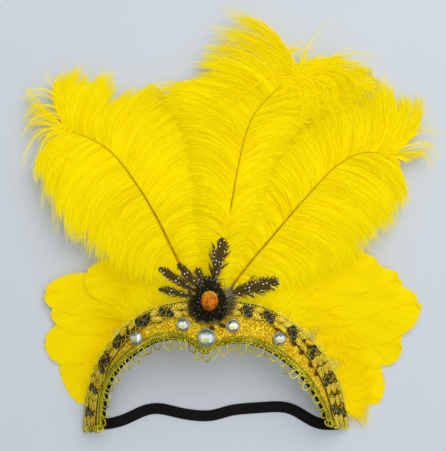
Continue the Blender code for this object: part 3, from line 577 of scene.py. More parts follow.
def buildLowerBraid():
    shape = Shape()
    start, end = braidLook["start"], braidLook["end"]
    share = np.linspace(start, end, braidLook["rows"])[:, None]
    width = bandWidth(share[:, 0])[:, None]
    across = np.linspace(0, 1, braidLook["across"])[None]
    places = 0.02 + across * (braidLook["width"] / width - 0.02)
    slant = share * braidLook["ribs"] * math.pi + (across - 0.5) * 1.1
    crown = np.sqrt(np.maximum(1 - (2 * across - 1) ** 2, 0))
    offsets = onCover + 0.15 + crown * (0.35 + 0.85 * np.abs(np.sin(slant)))
    top = onBand(share, places, offsets)
    bottom = onBand(share, places[:, ::-1], onCover)
    # painted light: the shade is highest on the crowns of the raised ribs, lower in the grooves between them, and
    # lowest on the underside
    shade = np.concatenate([np.abs(np.sin(slant)) * 0.8 * crown, 0 * slant], axis=1)
    shade = np.concatenate([shade[:1], shade, shade[-1:]])
    closedStrip(shape, np.concatenate([top, bottom], axis=1), 0, shade)
    share = np.linspace(start, end, braidLook["cordRows"])
    for inset in (0.5, 5.2):
        cord = onBand(share, inset / bandWidth(share), onCover + braidLook["cordLift"])[None]
        up = archNormal(cord[..., 0])
        twisted(shape, cord, braidLook["cordWidth"], braidLook["cordPitch"], up, 0.7, 1, 3)
    rng = np.random.default_rng(loopLook["seed"])
    count, wire, pitch = loopLook["count"], loopLook["wire"], loopLook["pitch"]
    feet = start + (end - start) * (np.arange(count) + 0.5 + rng.normal(0, 0.05, count)) / count
    half = (end - start) / count * lineRun(browLine)[-1] * 0.47
    lines, up = loopLines(feet, -1, half, loopLook["length"], onCover + 0.65, rng, 44)
    twisted(shape, lines, wire, pitch, up, rng.uniform(0.3, 1, count)[:, None, None], 1, 4)
    angle = np.linspace(-math.pi, math.pi, 40)[:, None]
    for side in (0.0, 1.0):
        # a bunch of loops gathered over each end of the band
        for across in np.linspace(0.03, 0.97, 8):
            foot = onBand(np.array([side]), np.array([across]), onCover + 0.6)[0]
            lean = rng.normal(0, 0.4)
            away = np.array([math.sin(lean), -math.cos(lean), 0.0])
            beside = np.array([away[1], -away[0], 0.0])
            reach, half = rng.uniform(4.6, 6.4), rng.uniform(1.5, 2.3)
            line = foot + away * ((np.cos(angle) + 1) * reach / 2 - 2.4) + beside * np.sin(angle) * half
            line[:, 2] += rng.uniform(0, 1.2)
            twisted(shape, line[None], wire, pitch, (0.0, 0.0, 1.0), rng.uniform(0.3, 1), 1, 4)
    shape.made("gimp_with_loops", (gimp, goldCord), "braid", "lower_braid")
    print("stage: lower braid")


# Upper trims: clusters of sequins between gold leaf scrolls.

trims = {
    # start and end along the band; shares with the trim's width there in mm; sequins and then garnets, each a share
    # and an inset from the crown edge; seed
    "sequin_trim_left": (
        0.004, 0.455,
        ((0.0, 18.0), (0.04, 17.5), (0.12, 14.0), (0.19, 11.0), (0.26, 9.8), (0.46, 9.4)),
        (
            (0.389, 3.1), (0.406, 6.2), (0.347, 4.2), (0.325, 3.6), (0.336, 7.0), (0.262, 3.6), (0.247, 6.6),
            (0.198, 7.4), (0.182, 3.8), (0.166, 8.6), (0.106, 10.6), (0.112, 5.0), (0.040, 12.5), (0.045, 6.5),
        ),
        ((0.512, 20.3), (0.372, 9.6), (0.300, 9.4), (0.130, 13.0)),
        21,
    ),
    "sequin_trim_right": (
        0.545, 0.996,
        ((0.545, 9.2), (0.66, 9.6), (0.74, 11.0), (0.80, 13.0), (0.87, 15.5), (0.96, 19.0), (1.0, 19.0)),
        (
            (0.582, 2.9), (0.592, 6.6), (0.632, 3.0), (0.648, 6.4), (0.703, 3.4), (0.718, 7.6), (0.775, 4.0),
            (0.789, 9.5), (0.861, 7.4), (0.873, 13.2), (0.962, 11.6), (0.950, 17.0), (0.968, 4.6),
        ),
        (
            (0.606, 1.6), (0.673, 2.4), (0.673, 9.4), (0.735, 11.3), (0.744, 4.4), (0.810, 14.6), (0.840, 15.8),
            (0.822, 5.6), (0.540, 18.0), (0.900, 12.0), (0.766, 12.6),
        ),
        22,
    ),
}
trimLook = {
    "sequinRadius": 3.0, "sequinSides": 14, "leafLength": 8.4, "leafWidth": 3.9, "leafPitch": 8.7, "cord": 0.50,
    "cordPitch": 1.6, "cordRows": 620, "netRows": 90, "picotLength": 2.8, "picotPitch": 2.7,
}
stones = {
    # x share, y share, diameter in mm, lift over the cover
    "rhinestone_centre": (0.006, 0.745, 14.0, 0.0),
    "rhinestone_left_inner": (-0.171, 0.834, 9.8, 0.0),
    "rhinestone_left_outer": (-0.536, 0.728, 9.8, 1.2),
    "rhinestone_right_inner": (0.183, 0.826, 9.8, 0.0),
    "rhinestone_right_outer": (0.492, 0.728, 9.8, 1.2),
}


def frameAt(plan, offset, turn):
    # The place over the band, and three axes there: two in the face, turned, and the one out of it.
    x = float(plan[0])
    outward = archNormal(x)
    right = np.array([outward[2], 0.0, -outward[0]])
    ahead = np.array([0.0, 1.0, 0.0])
    c, s = math.cos(turn), math.sin(turn)
    return onArch(np.array(plan, float), offset), right * c + ahead * s, ahead * c - right * s, outward


def inFrame(axes, points):
    origin, right, ahead, outward = axes
    points = np.asarray(points, float)
    return origin + points[..., :1] * right + points[..., 1:2] * ahead + points[..., 2:] * outward


def nearStone(plan, reach):
    for x, y, diameter, _ in stones.values():
        if math.hypot(plan[0] - planX(x), plan[1] - y * lie["crownReach"]) < diameter / 2 + reach:
            return True
    middleX, middleY = rosetteLook["middle"]
    return math.hypot(plan[0] - middleX, plan[1] - middleY) < 15 + reach * 0.3


def addDome(shape, axes, halfX, halfY, base, rise, sides, shade, kind):
    up = np.linspace(0, 0.5, 5)[:, None] * math.pi
    points = oval(roundTurn(sides), np.cos(up) * halfX, np.cos(up) * halfY, base + np.sin(up) * rise)
    shape.add(inFrame(axes, points), gridQuads(len(up), sides, True), shade, 0.0, kind)


def addSequin(shape, axes, radius, rng):
    # A cupped, faceted disc with a small bead in its middle.
    tilt = rng.normal(0, 0.07, 2)
    sides = trimLook["sequinSides"]
    turn = roundTurn(sides) + rng.uniform(0, 1)
    rim, fold, centre, hem = (1.0, 0.30), (0.72, 0.62), (0.22, 0.35), (1.0, 0.05)
    for index, pair in enumerate(((rim, fold), (fold, centre), (rim, hem))):
        rings = [oval(turn, share * radius, share * radius, height) for share, height in pair]
        quads = np.stack([rings[0], np.roll(rings[0], -1, axis=0), np.roll(rings[1], -1, axis=0), rings[1]], axis=1)
        quads[..., 2] += quads[..., 0] * tilt[0] + quads[..., 1] * tilt[1] + 0.25
        order = [0, 1, 2, 3] if index < 2 else [3, 2, 1, 0]
        # painted light: the outer slope of the cup is lighter, the inner slope darker and the skirt under the rim
        # darkest, with painted highlights that come and go twice round the disc
        tone = (0.44, 0.28, 0.10)[index] + 0.30 * np.sin(turn * 2 + index) + rng.uniform(-0.08, 0.08, sides)
        corners = np.arange(sides * 4).reshape(-1, 4)
        shape.add(inFrame(axes, quads[:, order]), corners, np.repeat(tone, 4), 0.0, 2, True)
    addDome(shape, axes, 0.52, 0.52, 0.55, 0.416, 8, 0.8, 2)


def leafLoop(length, width, steps=28):
    turn = np.linspace(-math.pi, math.pi, steps)
    x = np.cos(turn) * length / 2
    y = np.sin(turn) * width / 2 * (1 - 0.45 * np.cos(turn))
    return np.stack([x, y, 0 * turn], axis=-1)


def addLeaf(shape, axes, length, width, rng):
    # A pad worked in slanting gold rows, with a corded edge.
    rows, across = 21, np.linspace(-1, 1, 7)[None]
    along = np.linspace(-1, 1, rows)[:, None]
    half = np.sqrt(np.maximum(1 - along**2, 0)) * (1 - 0.30 * along) * width / 2
    crown = np.sqrt(np.maximum(1 - across**2, 0)) * np.sqrt(np.maximum(1 - along**4, 0))
    rib = np.abs(np.sin((along * length * 0.27 + np.abs(across) * 0.8) * math.pi))
    top = np.stack([along * length / 2 + 0 * across, across * half, 0.15 + crown * (0.25 + 0.95 * rib)], axis=-1)
    under = top[:, ::-1] * [1, 1, 0]
    # painted light: the ridges of the slanting rows are lighter, the grooves between them darker, and the underside
    # dark
    shade = np.concatenate([0.05 + 0.95 * rib * crown, 0.1 + 0 * rib], axis=1)
    shape.add(inFrame(axes, np.concatenate([top, under], axis=1)), gridQuads(rows, 14, True), shade, 0.0, 3)
    line = leafLoop(length, width)
    line[:, 2] += 0.35
    edge = inFrame(axes, line)[None]
    twisted(shape, edge, trimLook["cord"], 1.5, axes[3], rng.uniform(0.5, 1), 3, 3)


def buildTrim(name, start, end, widths, sequins, garnets, seed):
    rng = np.random.default_rng(seed)
    shape = Shape()
    long = lineRun(crownLine)[-1]

    def widthAt(share):
        return np.interp(share, [row[0] for row in widths], [row[1] for row in widths])

    def spotAt(share, inset):
        brow, crown = pick(browLine, np.array([share]))[0], pick(crownLine, np.array([share]))[0]
        ahead = pick(crownLine, np.array([share + 0.01]))[0] - pick(crownLine, np.array([share - 0.01]))[0]
        full = float(bandWidth(np.array([share]))[0])
        return brow + (crown - brow) * (1 - inset / full), math.atan2(ahead[1], ahead[0])

    share = np.linspace(start, end, trimLook["netRows"])[:, None]
    full = bandWidth(share[:, 0])[:, None]
    places, proud, offsets = stripRing(8, 0.0, 0.9)
    low = 1 - (widthAt(share) - 0.6) / full
    places = low + places[None] * (0.975 - low) + proud[None] / full
    closedStrip(shape, onBand(share, places, onCover + offsets[None]), 4, 0.35)
    share = np.linspace(start, end, trimLook["cordRows"])
    full, width = bandWidth(share), widthAt(share)
    cordWidth, cordPitch = trimLook["cord"] * 0.8, trimLook["cordPitch"]
    for edge, amount, pitch in ((0.6 + 0 * width, 0.55, 47.0), (width - 1.0, 0.40, 61.0)):
        inset = edge + amount * np.sin(share * pitch * 6.3) * (0.6 + 0.4 * np.sin(share * 71))
        cord = onBand(share, 1 - inset / full, onCover + 1.15)[None]
        twisted(shape, cord, cordWidth, cordPitch, archNormal(cord[..., 0]), 0.8, 3, 3)
    for wave in range(2):
        sway = 0.5 + 0.32 * np.sin(share * long / 5.4 * math.pi + wave * math.pi)
        cord = onBand(share, 1 - width * sway / full, onCover + 1.1 + 0.2 * wave)[None]
        twisted(shape, cord, cordWidth, cordPitch, archNormal(cord[..., 0]), 0.7, 1, 3)
    count = int(long * (end - start) / trimLook["picotPitch"])
    feet = np.linspace(start + 0.004, end - 0.004, count)
    half, length = trimLook["picotPitch"] * 0.4, trimLook["picotLength"]
    lines, up = loopLines(feet, 1, half, length, onCover + 0.9, rng, 12)
    tubes(shape, lines, 0.27, 4, rng.uniform(0.8, 1.3, count), 1, up)
    for share, inset in sequins:
        plan, turn = spotAt(share, inset)
        if not nearStone(plan, 2.0):
            radius = trimLook["sequinRadius"] * rng.uniform(0.92, 1.06)
            addSequin(shape, frameAt(plan, onCover + 1.7 + rng.uniform(0, 0.8), turn), radius, rng)
    marks = sorted(share for share, _ in sequins)
    groups = [[marks[0]]]
    for mark in marks[1:]:
        if mark - groups[-1][-1] > 0.03:
            groups.append([])
        groups[-1].append(mark)
    gap = 2.2 / long
    bounds = [(start, start)] + [(group[0] - gap, group[-1] + gap) for group in groups] + [(end, end)]
    about = math.pi if start < 0.5 else 0
    for (_, left), (right, _) in zip(bounds, bounds[1:]):
        many = max(1, round((right - left) * long / trimLook["leafPitch"]))
        for share in left + (right - left) * (np.arange(many) + 0.5) / many:
            width = float(widthAt(share))
            rows, wide = ((0.24, 0.30), (0.75, -0.30)), trimLook["leafWidth"]
            if width >= 12.5:
                rows, wide = ((0.17, 0.26), (0.50, 0.05), (0.83, -0.26)), wide * 1.12
            for inset, lean in rows:
                plan, turn = spotAt(share + rng.normal(0, 0.6) / long, width * inset)
                if nearStone(plan, 2.2):
                    continue
                lift = onCover + 1.3 + rng.uniform(0, 0.5)
                axes = frameAt(plan, lift, turn + lean + rng.normal(0, 0.10) + about)
                addLeaf(shape, axes, trimLook["leafLength"] * rng.uniform(0.90, 1.06), wide, rng)
    for share, inset in garnets:
        plan, turn = spotAt(share, inset)
        if nearStone(plan, 0.6):
            continue
        axes = frameAt(plan, onCover + 0.9, turn + rng.normal(0, 0.5))
        halfX, halfY = rng.uniform(2.0, 2.7), rng.uniform(1.2, 1.7)
        addDome(shape, axes, halfX, halfY, 0.0, 0.8, 14, rng.uniform(0, 0.8, (5, 14)), 5)
    finishes = (gimp, goldCord, sequin, paleCord, trimNet, garnet)
    shape.made(name.replace("sequin_", "beaded_"), finishes, "trim", name)
    print("stage:", name, "quads", sum(len(q) for q in shape.quads))


# Stones.

amberLook = {"place": (0.027, 1.010), "width": 13.0, "length": 14.8, "height": 5.2, "base": 10.0}


def addFacets(shape, axes, halfX, halfY, rings, sides, paint, kind):
    # rings: share of the half widths, height, turn in facets; paint gives each facet its shade from its middle
    loops = []
    for share, height, turn in rings:
        angle = (np.arange(sides) + turn) * 2 * math.pi / sides
        loops.append(oval(angle, halfX * share, halfY * share, height))
    corners = []
    for (low, lowRing), (high, highRing) in zip(zip(loops, rings), zip(loops[1:], rings[1:])):
        after, over = np.roll(low, -1, axis=0), np.roll(high, -1, axis=0)
        if highRing[2] > lowRing[2]:
            corners += [np.stack([low, after, high, high], axis=1), np.stack([after, over, high, high], axis=1)]
        else:
            corners.append(np.stack([low, after, over, high], axis=1))
    table = loops[-1]
    middle = table.mean(axis=0) + 0 * table
    after = np.roll(table, -1, axis=0)
    steps = (1.0, 0.66, 0.33)
    for outer, inner in zip(steps, steps[1:]):
        a, b = middle + (table - middle) * outer, middle + (after - middle) * outer
        c, d = middle + (after - middle) * inner, middle + (table - middle) * inner
        corners.append(np.stack([a, b, c, d], axis=1))
    a, b = middle + (table - middle) * steps[-1], middle + (after - middle) * steps[-1]
    corners.append(np.stack([a, b, middle, middle], axis=1))
    for group in corners:
        centre = group.mean(axis=1)
        shade = np.repeat(paint(centre[:, 0] / halfX, centre[:, 1] / halfY), 4)
        quads = np.arange(len(group) * 4).reshape(-1, 4)
        same = np.all(group[:, 2] == group[:, 3], axis=1)
        quads[same, 3] = quads[same, 2]
        shape.add(inFrame(axes, group), quads, shade, 0.0, kind, True)


def clearPaint(rng):
    # painted reflections: the facets show a pale belt across the middle, a yellow patch under it and grey green above
    # and below
    def paint(x, y):
        shade = np.where(y > 0.42, rng.uniform(0.12, 0.42, len(x)), rng.uniform(0.78, 0.96, len(x)))
        shade = np.where((y < -0.02) & (x < 0.35) & (y > -0.40), rng.uniform(0.46, 0.58, len(x)), shade)
        shade = np.where(y < -0.42, rng.uniform(0.06, 0.44, len(x)), shade)
        return np.where(np.hypot(x, y) > 0.9, rng.uniform(0.2, 0.7, len(x)), shade)
    return paint


def amberPaint(rng):
    def paint(x, y):
        # painted light: facets lighter towards the top and darker at the bottom, with painted highlights on the upper
        # rim
        shade = 0.48 + 0.26 * y + rng.uniform(-0.34, 0.24, len(x))
        shade = np.where(y < -0.62, rng.uniform(0.05, 0.45, len(x)), shade)
        return np.where((np.hypot(x, y) > 0.86) & (y > 0.25), rng.uniform(0.85, 1.0, len(x)), np.clip(shade, 0, 0.84))
    return paint


def buildStones():
    for number, (name, (x, y, diameter, lift)) in enumerate(stones.items()):
        rng = np.random.default_rng(60 + number)
        axes = frameAt((planX(x), y * lie["crownReach"]), onCover + lift, rng.uniform(-0.15, 0.15))
        radius, height = diameter / 2, diameter * 0.34
        shape = Shape()
        turn = np.linspace(0, 2 * math.pi, 49)
        for share, level, thick in ((0.96, height * 0.16, 0.36), (0.94, height * 0.40, 0.20)):
            rim = oval(turn, radius * share, radius * share, level)
            tubes(shape, inFrame(axes, rim)[None], thick, 8, 0.6, 1, axes[3])
        for angle in np.arange(4) * math.pi / 2 + 0.4:
            share, level = np.array([(0.98, 0.15), (0.96, 0.42), (0.88, 0.60), (0.80, 0.66)]).T
            claw = oval(angle + 0 * share, share * radius, share * radius, level * height)
            tubes(shape, inFrame(axes, evenLine(claw, 8))[None], 0.30, 6, 0.7, 1, axes[3])
        rings = ((0.90, height * 0.1, 0), (0.93, height * 0.40, 0), (0.76, height * 0.80, 0.5), (0.60, height, 1.0))
        addFacets(shape, axes, radius, radius, rings, 10 if diameter < 12 else 14, clearPaint(rng), 0)
        shape.made(name.replace("rhinestone", "cut_stone"), (clearStone, silverRim), "stone", name)
    rng = np.random.default_rng(70)
    x, y = amberLook["place"]
    axes = frameAt((planX(x), y * lie["crownReach"]), amberLook["base"], 0.0)
    shape = Shape()
    height = amberLook["height"]
    rings = (
        (0.90, 0.0, 0), (1.0, height * 0.25, 0), (0.96, height * 0.42, 0), (0.78, height * 0.80, 0.5),
        (0.55, height, 1.0),
    )
    addFacets(shape, axes, amberLook["width"] / 2, amberLook["length"] / 2, rings, 12, amberPaint(rng), 0)
    shape.made("amber_cut_stone", (amberStone,), "amber", "amber_stone")
    print("stage: stones")


# Rosette and spotted feathers.

tuftFinish = Finish("dark tuft", Roughness=0.8, Specular_IOR_Level=0.06)
tuftTone = tuftFinish.read("shade") + tuftFinish.noise(tuftFinish.spot(), 500.0, 2.0) * 0.24 - 0.12
tuftFinish.feed(
    Base_Color=tuftFinish.ramp(
        tuftTone, (0.10, (0.004, 0.003, 0.002)), (0.45, (0.026, 0.018, 0.006)), (0.66, (0.105, 0.075, 0.018)),
        (0.80, (0.26, 0.21, 0.08)), (0.97, (0.50, 0.50, 0.42)),
    )
)
spotted = Finish("spotted feather", Roughness=0.8, Specular_IOR_Level=0.05)
lane = spotted.stretched(spotted.read("shade") / 2.3, spotted.read("along") / 2.7)
dot = 1 - spotted.cells(lane, 1.0, 0, random=0.30).between(0.17, 0.27)
dot = dot * spotted.noise(lane, 0.55, 1.0).between(0.44, 0.50)
streak = spotted.noise(spotted.stretched(spotted.read("shade") * 0.6, spotted.read("along") * 5.0), 1.0, 2.0)
dark = spotted.mix(streak.between(0.3, 0.75), (0.014, 0.008, 0.002), (0.17, 0.11, 0.018))
spotted.feed(Base_Color=spotted.mix(dot, dark, (0.74, 0.70, 0.58)), Normal=spotted.bump(streak, 0.4, 0.0003))
rosetteLook = {"middle": (3.0, 106.9), "base": 5.2, "thick": 4.5, "strands": 6000}
tuftHalves = np.array([
    # height over the middle and half width in mm: a teardrop with its point up
    (-17.4, 0.0), (-16.6, 6.0), (-15.0, 9.6), (-12.0, 12.2), (-8.0, 14.2), (-4.0, 14.6), (0.0, 13.6),
    (4.0, 11.4), (9.0, 9.2), (14.8, 5.6), (17.6, 2.6), (18.6, 0.0),
])


def tuftReach(angle):
    level = np.linspace(tuftHalves[0, 0], tuftHalves[-1, 0], 240)
    half = np.interp(level, tuftHalves[:, 0], tuftHalves[:, 1])
    edge = np.concatenate([np.stack([half, level], axis=-1), np.stack([-half, level], axis=-1)[::-1]])
    return np.interp(angle, np.arctan2(edge[:, 1], edge[:, 0]), np.hypot(edge[:, 0], edge[:, 1]), period=2 * math.pi)


def addFluff(shape, rng):
    # Soft wisps round the tuft: a brown hem on both sides, greyish ones to the right.
    middle = np.array(rosetteLook["middle"])
    level = float(archHeight(0.0)) + rosetteLook["base"] - 1.0
    for start, end, count, longest, tone in (
        (-0.30, 0.42, 330, 13.0, 0.66), (-0.05, 0.30, 80, 14.0, 0.86), (-1.2, -0.2, 330, 5.0, 0.60),
        (3.0, 4.5, 460, 6.0, 0.58), (1.0, 2.2, 260, 5.0, 0.40),
    ):
        angle = rng.uniform(start, end, count)
        u = np.linspace(0, 1, 6)[None]
        away = angle[:, None] + rng.normal(0, 0.12, (count, 1)) + rng.normal(0, 0.32, (count, 1)) * u
        run = tuftReach(angle)[:, None] * rng.uniform(0.70, 0.92, (count, 1))
        run = run + rng.uniform(0.4, 1, (count, 1)) * longest * u
        plan = middle + np.stack([np.cos(away) * run, np.sin(away) * run], axis=-1)
        paths = withHeight(plan, level + rng.uniform(0, 2.0, (count, 1)) - 0.8 * u)
        shade = np.clip(tone + rng.normal(0, 0.10, (count, 1)) + 0 * u, 0, 1)
        ribbons(shape, paths, 0.32, rng.normal(0, 0.7, count), np.linspace(1, 0.15, 6), shade)


def buildRosette():
    rng = np.random.default_rng(80)
    shape = Shape()
    middle = np.array([*rosetteLook["middle"], float(archHeight(0.0)) + rosetteLook["base"]])
    sides = 48
    turn = roundTurn(sides)
    share = np.array([0.36, 0.60, 0.80, 0.86, 0.86, 0.78, 0.55, 0.28, 0.02])[:, None]
    rise = np.array([-3.6, -3.4, 0.0, 1.0, 2.0, 3.2, 4.1, 4.4, 4.5])[:, None]
    reach = tuftReach(turn) * (1 + 0.04 * np.sin(turn * 11)) * share
    shape.add(middle + oval(turn, reach, reach, rise), gridQuads(len(rise), sides, True), 0.2, 0.0, 0)
    count, steps = rosetteLook["strands"], 6
    angle = rng.uniform(0, 2 * math.pi, count)
    out = np.sqrt(rng.uniform(0.05, 1, count))
    reach = tuftReach(angle) * out * 0.85
    root = middle + oval(angle, reach, reach, 3.9 * np.sqrt(1.02 - out**2 * 0.9))
    spread = angle + rng.normal(0, 0.9, count)
    away = oval(spread, 1, 1, 0.75 * (1.1 - out) + rng.uniform(0, 0.6, count))
    length = rng.uniform(1.3, 3.2, count) * (0.9 + 0.2 * out)
    u = np.linspace(0, 1, steps)[None, :, None]
    curl = oval(spread + 1.6, 1, 1, -0.35) * rng.normal(0, 1.3, (count, 1))
    paths = root[:, None] + unit(away)[:, None] * length[:, None, None] * u + curl[:, None] * u**2
    paths[..., 2] -= (u[..., 0] ** 2) * 1.2
    pale = rng.uniform(0, 1, count) < 0.05
    shade = np.where(pale, rng.uniform(0.78, 0.94, count), np.clip(rng.normal(0.32, 0.17, count), 0, 0.70))
    fade = np.clip(shade[:, None] + np.linspace(-0.1, 0.16, steps)[None], 0, 1)
    width = rng.uniform(0.32, 0.62, count)
    ribbons(shape, paths, width, rng.normal(0, 0.8, count), np.linspace(1, 0.2, steps), fade)
    addFluff(shape, rng)
    shape.made("tufted_rosette", (tuftFinish,), "rosette", "rosette_pad")
    print("stage: rosette")


guineas = {
    # angle in degrees, counterclockwise from x; start, end and half width in mm; raggedness
    "guinea_feather_1": (131.0, 9.0, 36.0, 3.4, 0.45),
    "guinea_feather_2": (147.5, 11.0, 45.0, 3.6, 0.45),
    "guinea_feather_3": (168.0, 12.0, 39.0, 3.0, 0.85),
    "guinea_feather_4": (112.0, 13.0, 26.0, 2.2, 0.80),
    "guinea_feather_5": (78.0, 12.0, 47.4, 6.4, 0.62),
    "guinea_feather_6": (15.5, 13.2, 54.0, 6.6, 0.60),
}
guineaOutline = np.array([(0.0, 0.2), (0.2, 0.45), (0.45, 0.9), (0.65, 1.0), (0.85, 0.78), (0.95, 0.5), (1.0, 0.12)])


def buildGuineas():
    for number, (name, (angle, start, end, half, ragged)) in enumerate(guineas.items()):
        rng = np.random.default_rng(90 + number)
        turn = math.radians(angle)
        ahead = np.array([math.cos(turn), math.sin(turn)])
        side = leftOf(ahead)
        middle = np.array(rosetteLook["middle"])
        level = float(archHeight(0.0)) + 3.7
        length = end - start
        shape = Shape()

        def at(along, across):
            plan = middle + ahead * (start + along)[..., None] + side * across[..., None]
            return withHeight(plan, level + 0.9 + 1.5 * np.sin(np.pi * along / length) - 0.05 * across**2)

        steps = 6
        u = np.linspace(0, 1, steps)[None]
        for turnSide in (1, -1):
            count = int(length * 4.5)
            q = np.linspace(0, 1, count)
            root = q * length * 0.97
            tip = np.minimum(root + (4.0 + half) * (1 - q**5), length)
            wide = np.interp(tip / length, guineaOutline[:, 0], guineaOutline[:, 1]) * half
            groups = rng.uniform(1 - ragged, 1 + ragged * 0.55, int(length / 1.6) + 2)
            uneven = groups[(root / 1.6).astype(int)] + rng.normal(0, 0.05 + ragged * 0.25, count)
            reach = np.clip(uneven, 0.12, 1.5)[:, None] * u
            across = turnSide * reach * wide[:, None]
            run = (tip - root)[:, None] * u**0.8
            along = root[:, None] + run + rng.normal(0, 0.15, (count, 1)) * u**2
            paths = at(along, across)
            paths[..., 2] += rng.normal(0, 0.08, (count, 1))
            taper = (1, 1, 1, 1, 0.8, 0.3)
            ribbons(shape, paths, 0.42, rng.normal(0, 0.15, count), taper, across + 20, 0, along + 10)
            web = at((root[:, None] + 0.75 * run)[::3], turnSide * (0.78 - ragged * 0.5) * wide[::3, None] * u)
            quads = gridQuads(len(web), steps)
            quads = quads[:, ::-1] if turnSide > 0 else quads
            shape.add(web - [0, 0, 0.3], quads, across[::3] + 20, along[::3] + 10, 0)
            # loose wisps at the foot
            many = int(50 + 60 * ragged)
            foot = rng.uniform(0, 0.45 + 0.5 * ragged, many) * length
            away = side * turnSide + ahead * rng.uniform(0.1, 1.0, many)[:, None]
            v = np.linspace(0, 1, 7)
            plan = (middle + ahead * (start + foot)[:, None])[:, None]
            plan = plan + unit(away)[:, None] * (rng.uniform(2, 5, (many, 1)) * v)[..., None]
            paths = withHeight(plan, level + 1.0 + rng.uniform(0, 1.2, (many, 1)) * v)
            wisps(shape, paths, rng, 0.35, 0.6, np.linspace(1, 0.2, 7), (0.2, 0.9), 1)
        line = np.linspace(-2, length * 0.95, 24)
        radius = 0.4 * (1 - np.linspace(0, 1, 24)) + 0.1
        tubes(shape, at(line, 0 * line)[None] + [0, 0, 0.2], radius[None], 6, 0.5, 1)
        shape.made(name.replace("guinea", "spotted"), (spotted, tuftFinish), "guinea", name)
    print("stage: spotted feathers")


# Elastic strap.

strapLine = (
    (-0.955, 0.18), (-0.878, 0.17), (-0.807, 0.18), (-0.722, 0.31), (-0.637, 0.50), (-0.538, 0.80), (-0.453, 0.93),
    (-0.368, 0.90), (-0.255, 0.72), (-0.142, 0.60), (0.0, 0.53), (0.085, 0.62), (0.147, 0.79), (0.220, 0.87),
    (0.342, 0.92), (0.464, 0.98), (0.574, 0.99), (0.647, 0.80), (0.733, 0.42), (0.806, 0.17), (0.867, 0.13),
    (0.955, 0.18),
)
strapLook = {"width": 8.6, "thick": 1.2, "wave": 17.3, "rows": 190, "ribs": 9}
elastic = Finish("black elastic", Roughness=0.75, Sheen_Weight=0.05, Specular_IOR_Level=0.12)
row = (elastic.read("along") * 1300.0).wave()
line = (elastic.read("shade") * 56.5).wave()
lint = elastic.noise(elastic.spot(), 800.0, 2.0)
elastic.feed(
    Base_Color=elastic.mix(row * 0.5 + lint * 0.4, (0.0015, 0.0015, 0.0013), (0.008, 0.008, 0.007)),
    Normal=elastic.bump(row * 0.5 + line, 0.7, 0.0003),
)


def buildStrap():
    line = np.array([(planX(x), y * strapLook["wave"]) for x, y in strapLine])
    line = evenLine(line, strapLook["rows"], 12)
    side = leftOf(unit(np.gradient(line, axis=0)))
    across = 4 * strapLook["ribs"] + 1
    places, proud, offsets = stripRing(across, 0.0, strapLook["thick"])
    rib = 0.10 * (np.cos(places * strapLook["ribs"] * 2 * math.pi) - 1) * (offsets > 1.0)
    plan = line[:, None] - side[:, None] * (((places - 0.5) * (strapLook["width"] - 1.0) + proud)[None, :, None])
    height = np.broadcast_to(lie["floor"] + offsets + rib, plan.shape[:2])
    shape = Shape()
    closedStrip(shape, withHeight(plan, height), 0, places[None])
    shape.made("elastic_back_strap", (elastic,), "elastic", "elastic_strap")
    print("stage: strap")


# Finishes of the feathers.

def barbFinish(name, deep, middle, bright, glow, lemon):
    # Strands let light through, so a part of their colour glows.
    made = Finish(name, Roughness=0.75, Specular_IOR_Level=0.03, Emission_Strength=glow)
    shade = made.read("shade")
    along = made.read("along")
    grain = made.noise(made.spot(), 420.0, 3.0)
    cloud = made.noise(made.spot(), 28.0, 2.0)
    light = shade * 0.55 + grain * 0.25 + cloud * 0.40 - 0.12 + along * 0.06
    colour = made.ramp(light, (0.15, deep), (0.50, middle), (0.82, bright))
    colour = made.mix(along.between(0.45, 1.0) * lemon, colour, (0.68, 0.605, 0.0006))
    return made.feed(Base_Color=colour, Emission_Color=colour)


def vaneFinish(name, deep, middle, bright, glow):
    # The flat web of a feather: fine barbs drawn along it by the shade and place that its mesh carries.
    made = Finish(name, Roughness=0.7, Specular_IOR_Level=0.03, Emission_Strength=glow)
    lane = made.read("shade")
    along = made.read("along")
    streak = made.noise(made.stretched(lane * 900.0, along * 5.0), 1.0, 3.0, 0.6)
    cloud = made.noise(made.spot(), 45.0, 2.0)
    light = streak * 0.55 + cloud * 0.45 - 0.02
    colour = made.ramp(light, (0.25, deep), (0.50, middle), (0.75, bright))
    normal = made.bump(streak, 0.3, 0.0003)
    return made.feed(Base_Color=colour, Emission_Color=colour, Normal=normal)


plumeBarbs = barbFinish(
    "plume barbs", (0.60, 0.455, 0.0003), (0.69, 0.550, 0.0003), (0.75, 0.615, 0.0005), 0.34, 0.55,
)
plumeWeb = vaneFinish("plume web", (0.62, 0.470, 0.0003), (0.68, 0.540, 0.0003), (0.74, 0.600, 0.0005), 0.36)
gooseBarbs = barbFinish(
    "side feather barbs", (0.64, 0.475, 0.0003), (0.69, 0.530, 0.0003), (0.74, 0.580, 0.0005), 0.34, 0.12,
)
gooseWeb = vaneFinish("side feather web", (0.64, 0.480, 0.0003), (0.69, 0.525, 0.0003), (0.73, 0.565, 0.0005), 0.34)
quill = Finish("quill", Roughness=0.5, Specular_IOR_Level=0.15)
quillTone = quill.noise(quill.stretched(quill.read("along") * 40.0, quill.read("shade") * 3.0), 1.0, 3.0)
quill.feed(
    Base_Color=quill.ramp(
        quillTone, (0.3, (0.34, 0.165, 0.002)), (0.6, (0.45, 0.25, 0.003)), (0.85, (0.64, 0.44, 0.004)),
    ),
)

# Plumes: shafts and barb ends in millimetres. The first number of an end is the share of the shaft it grows from.

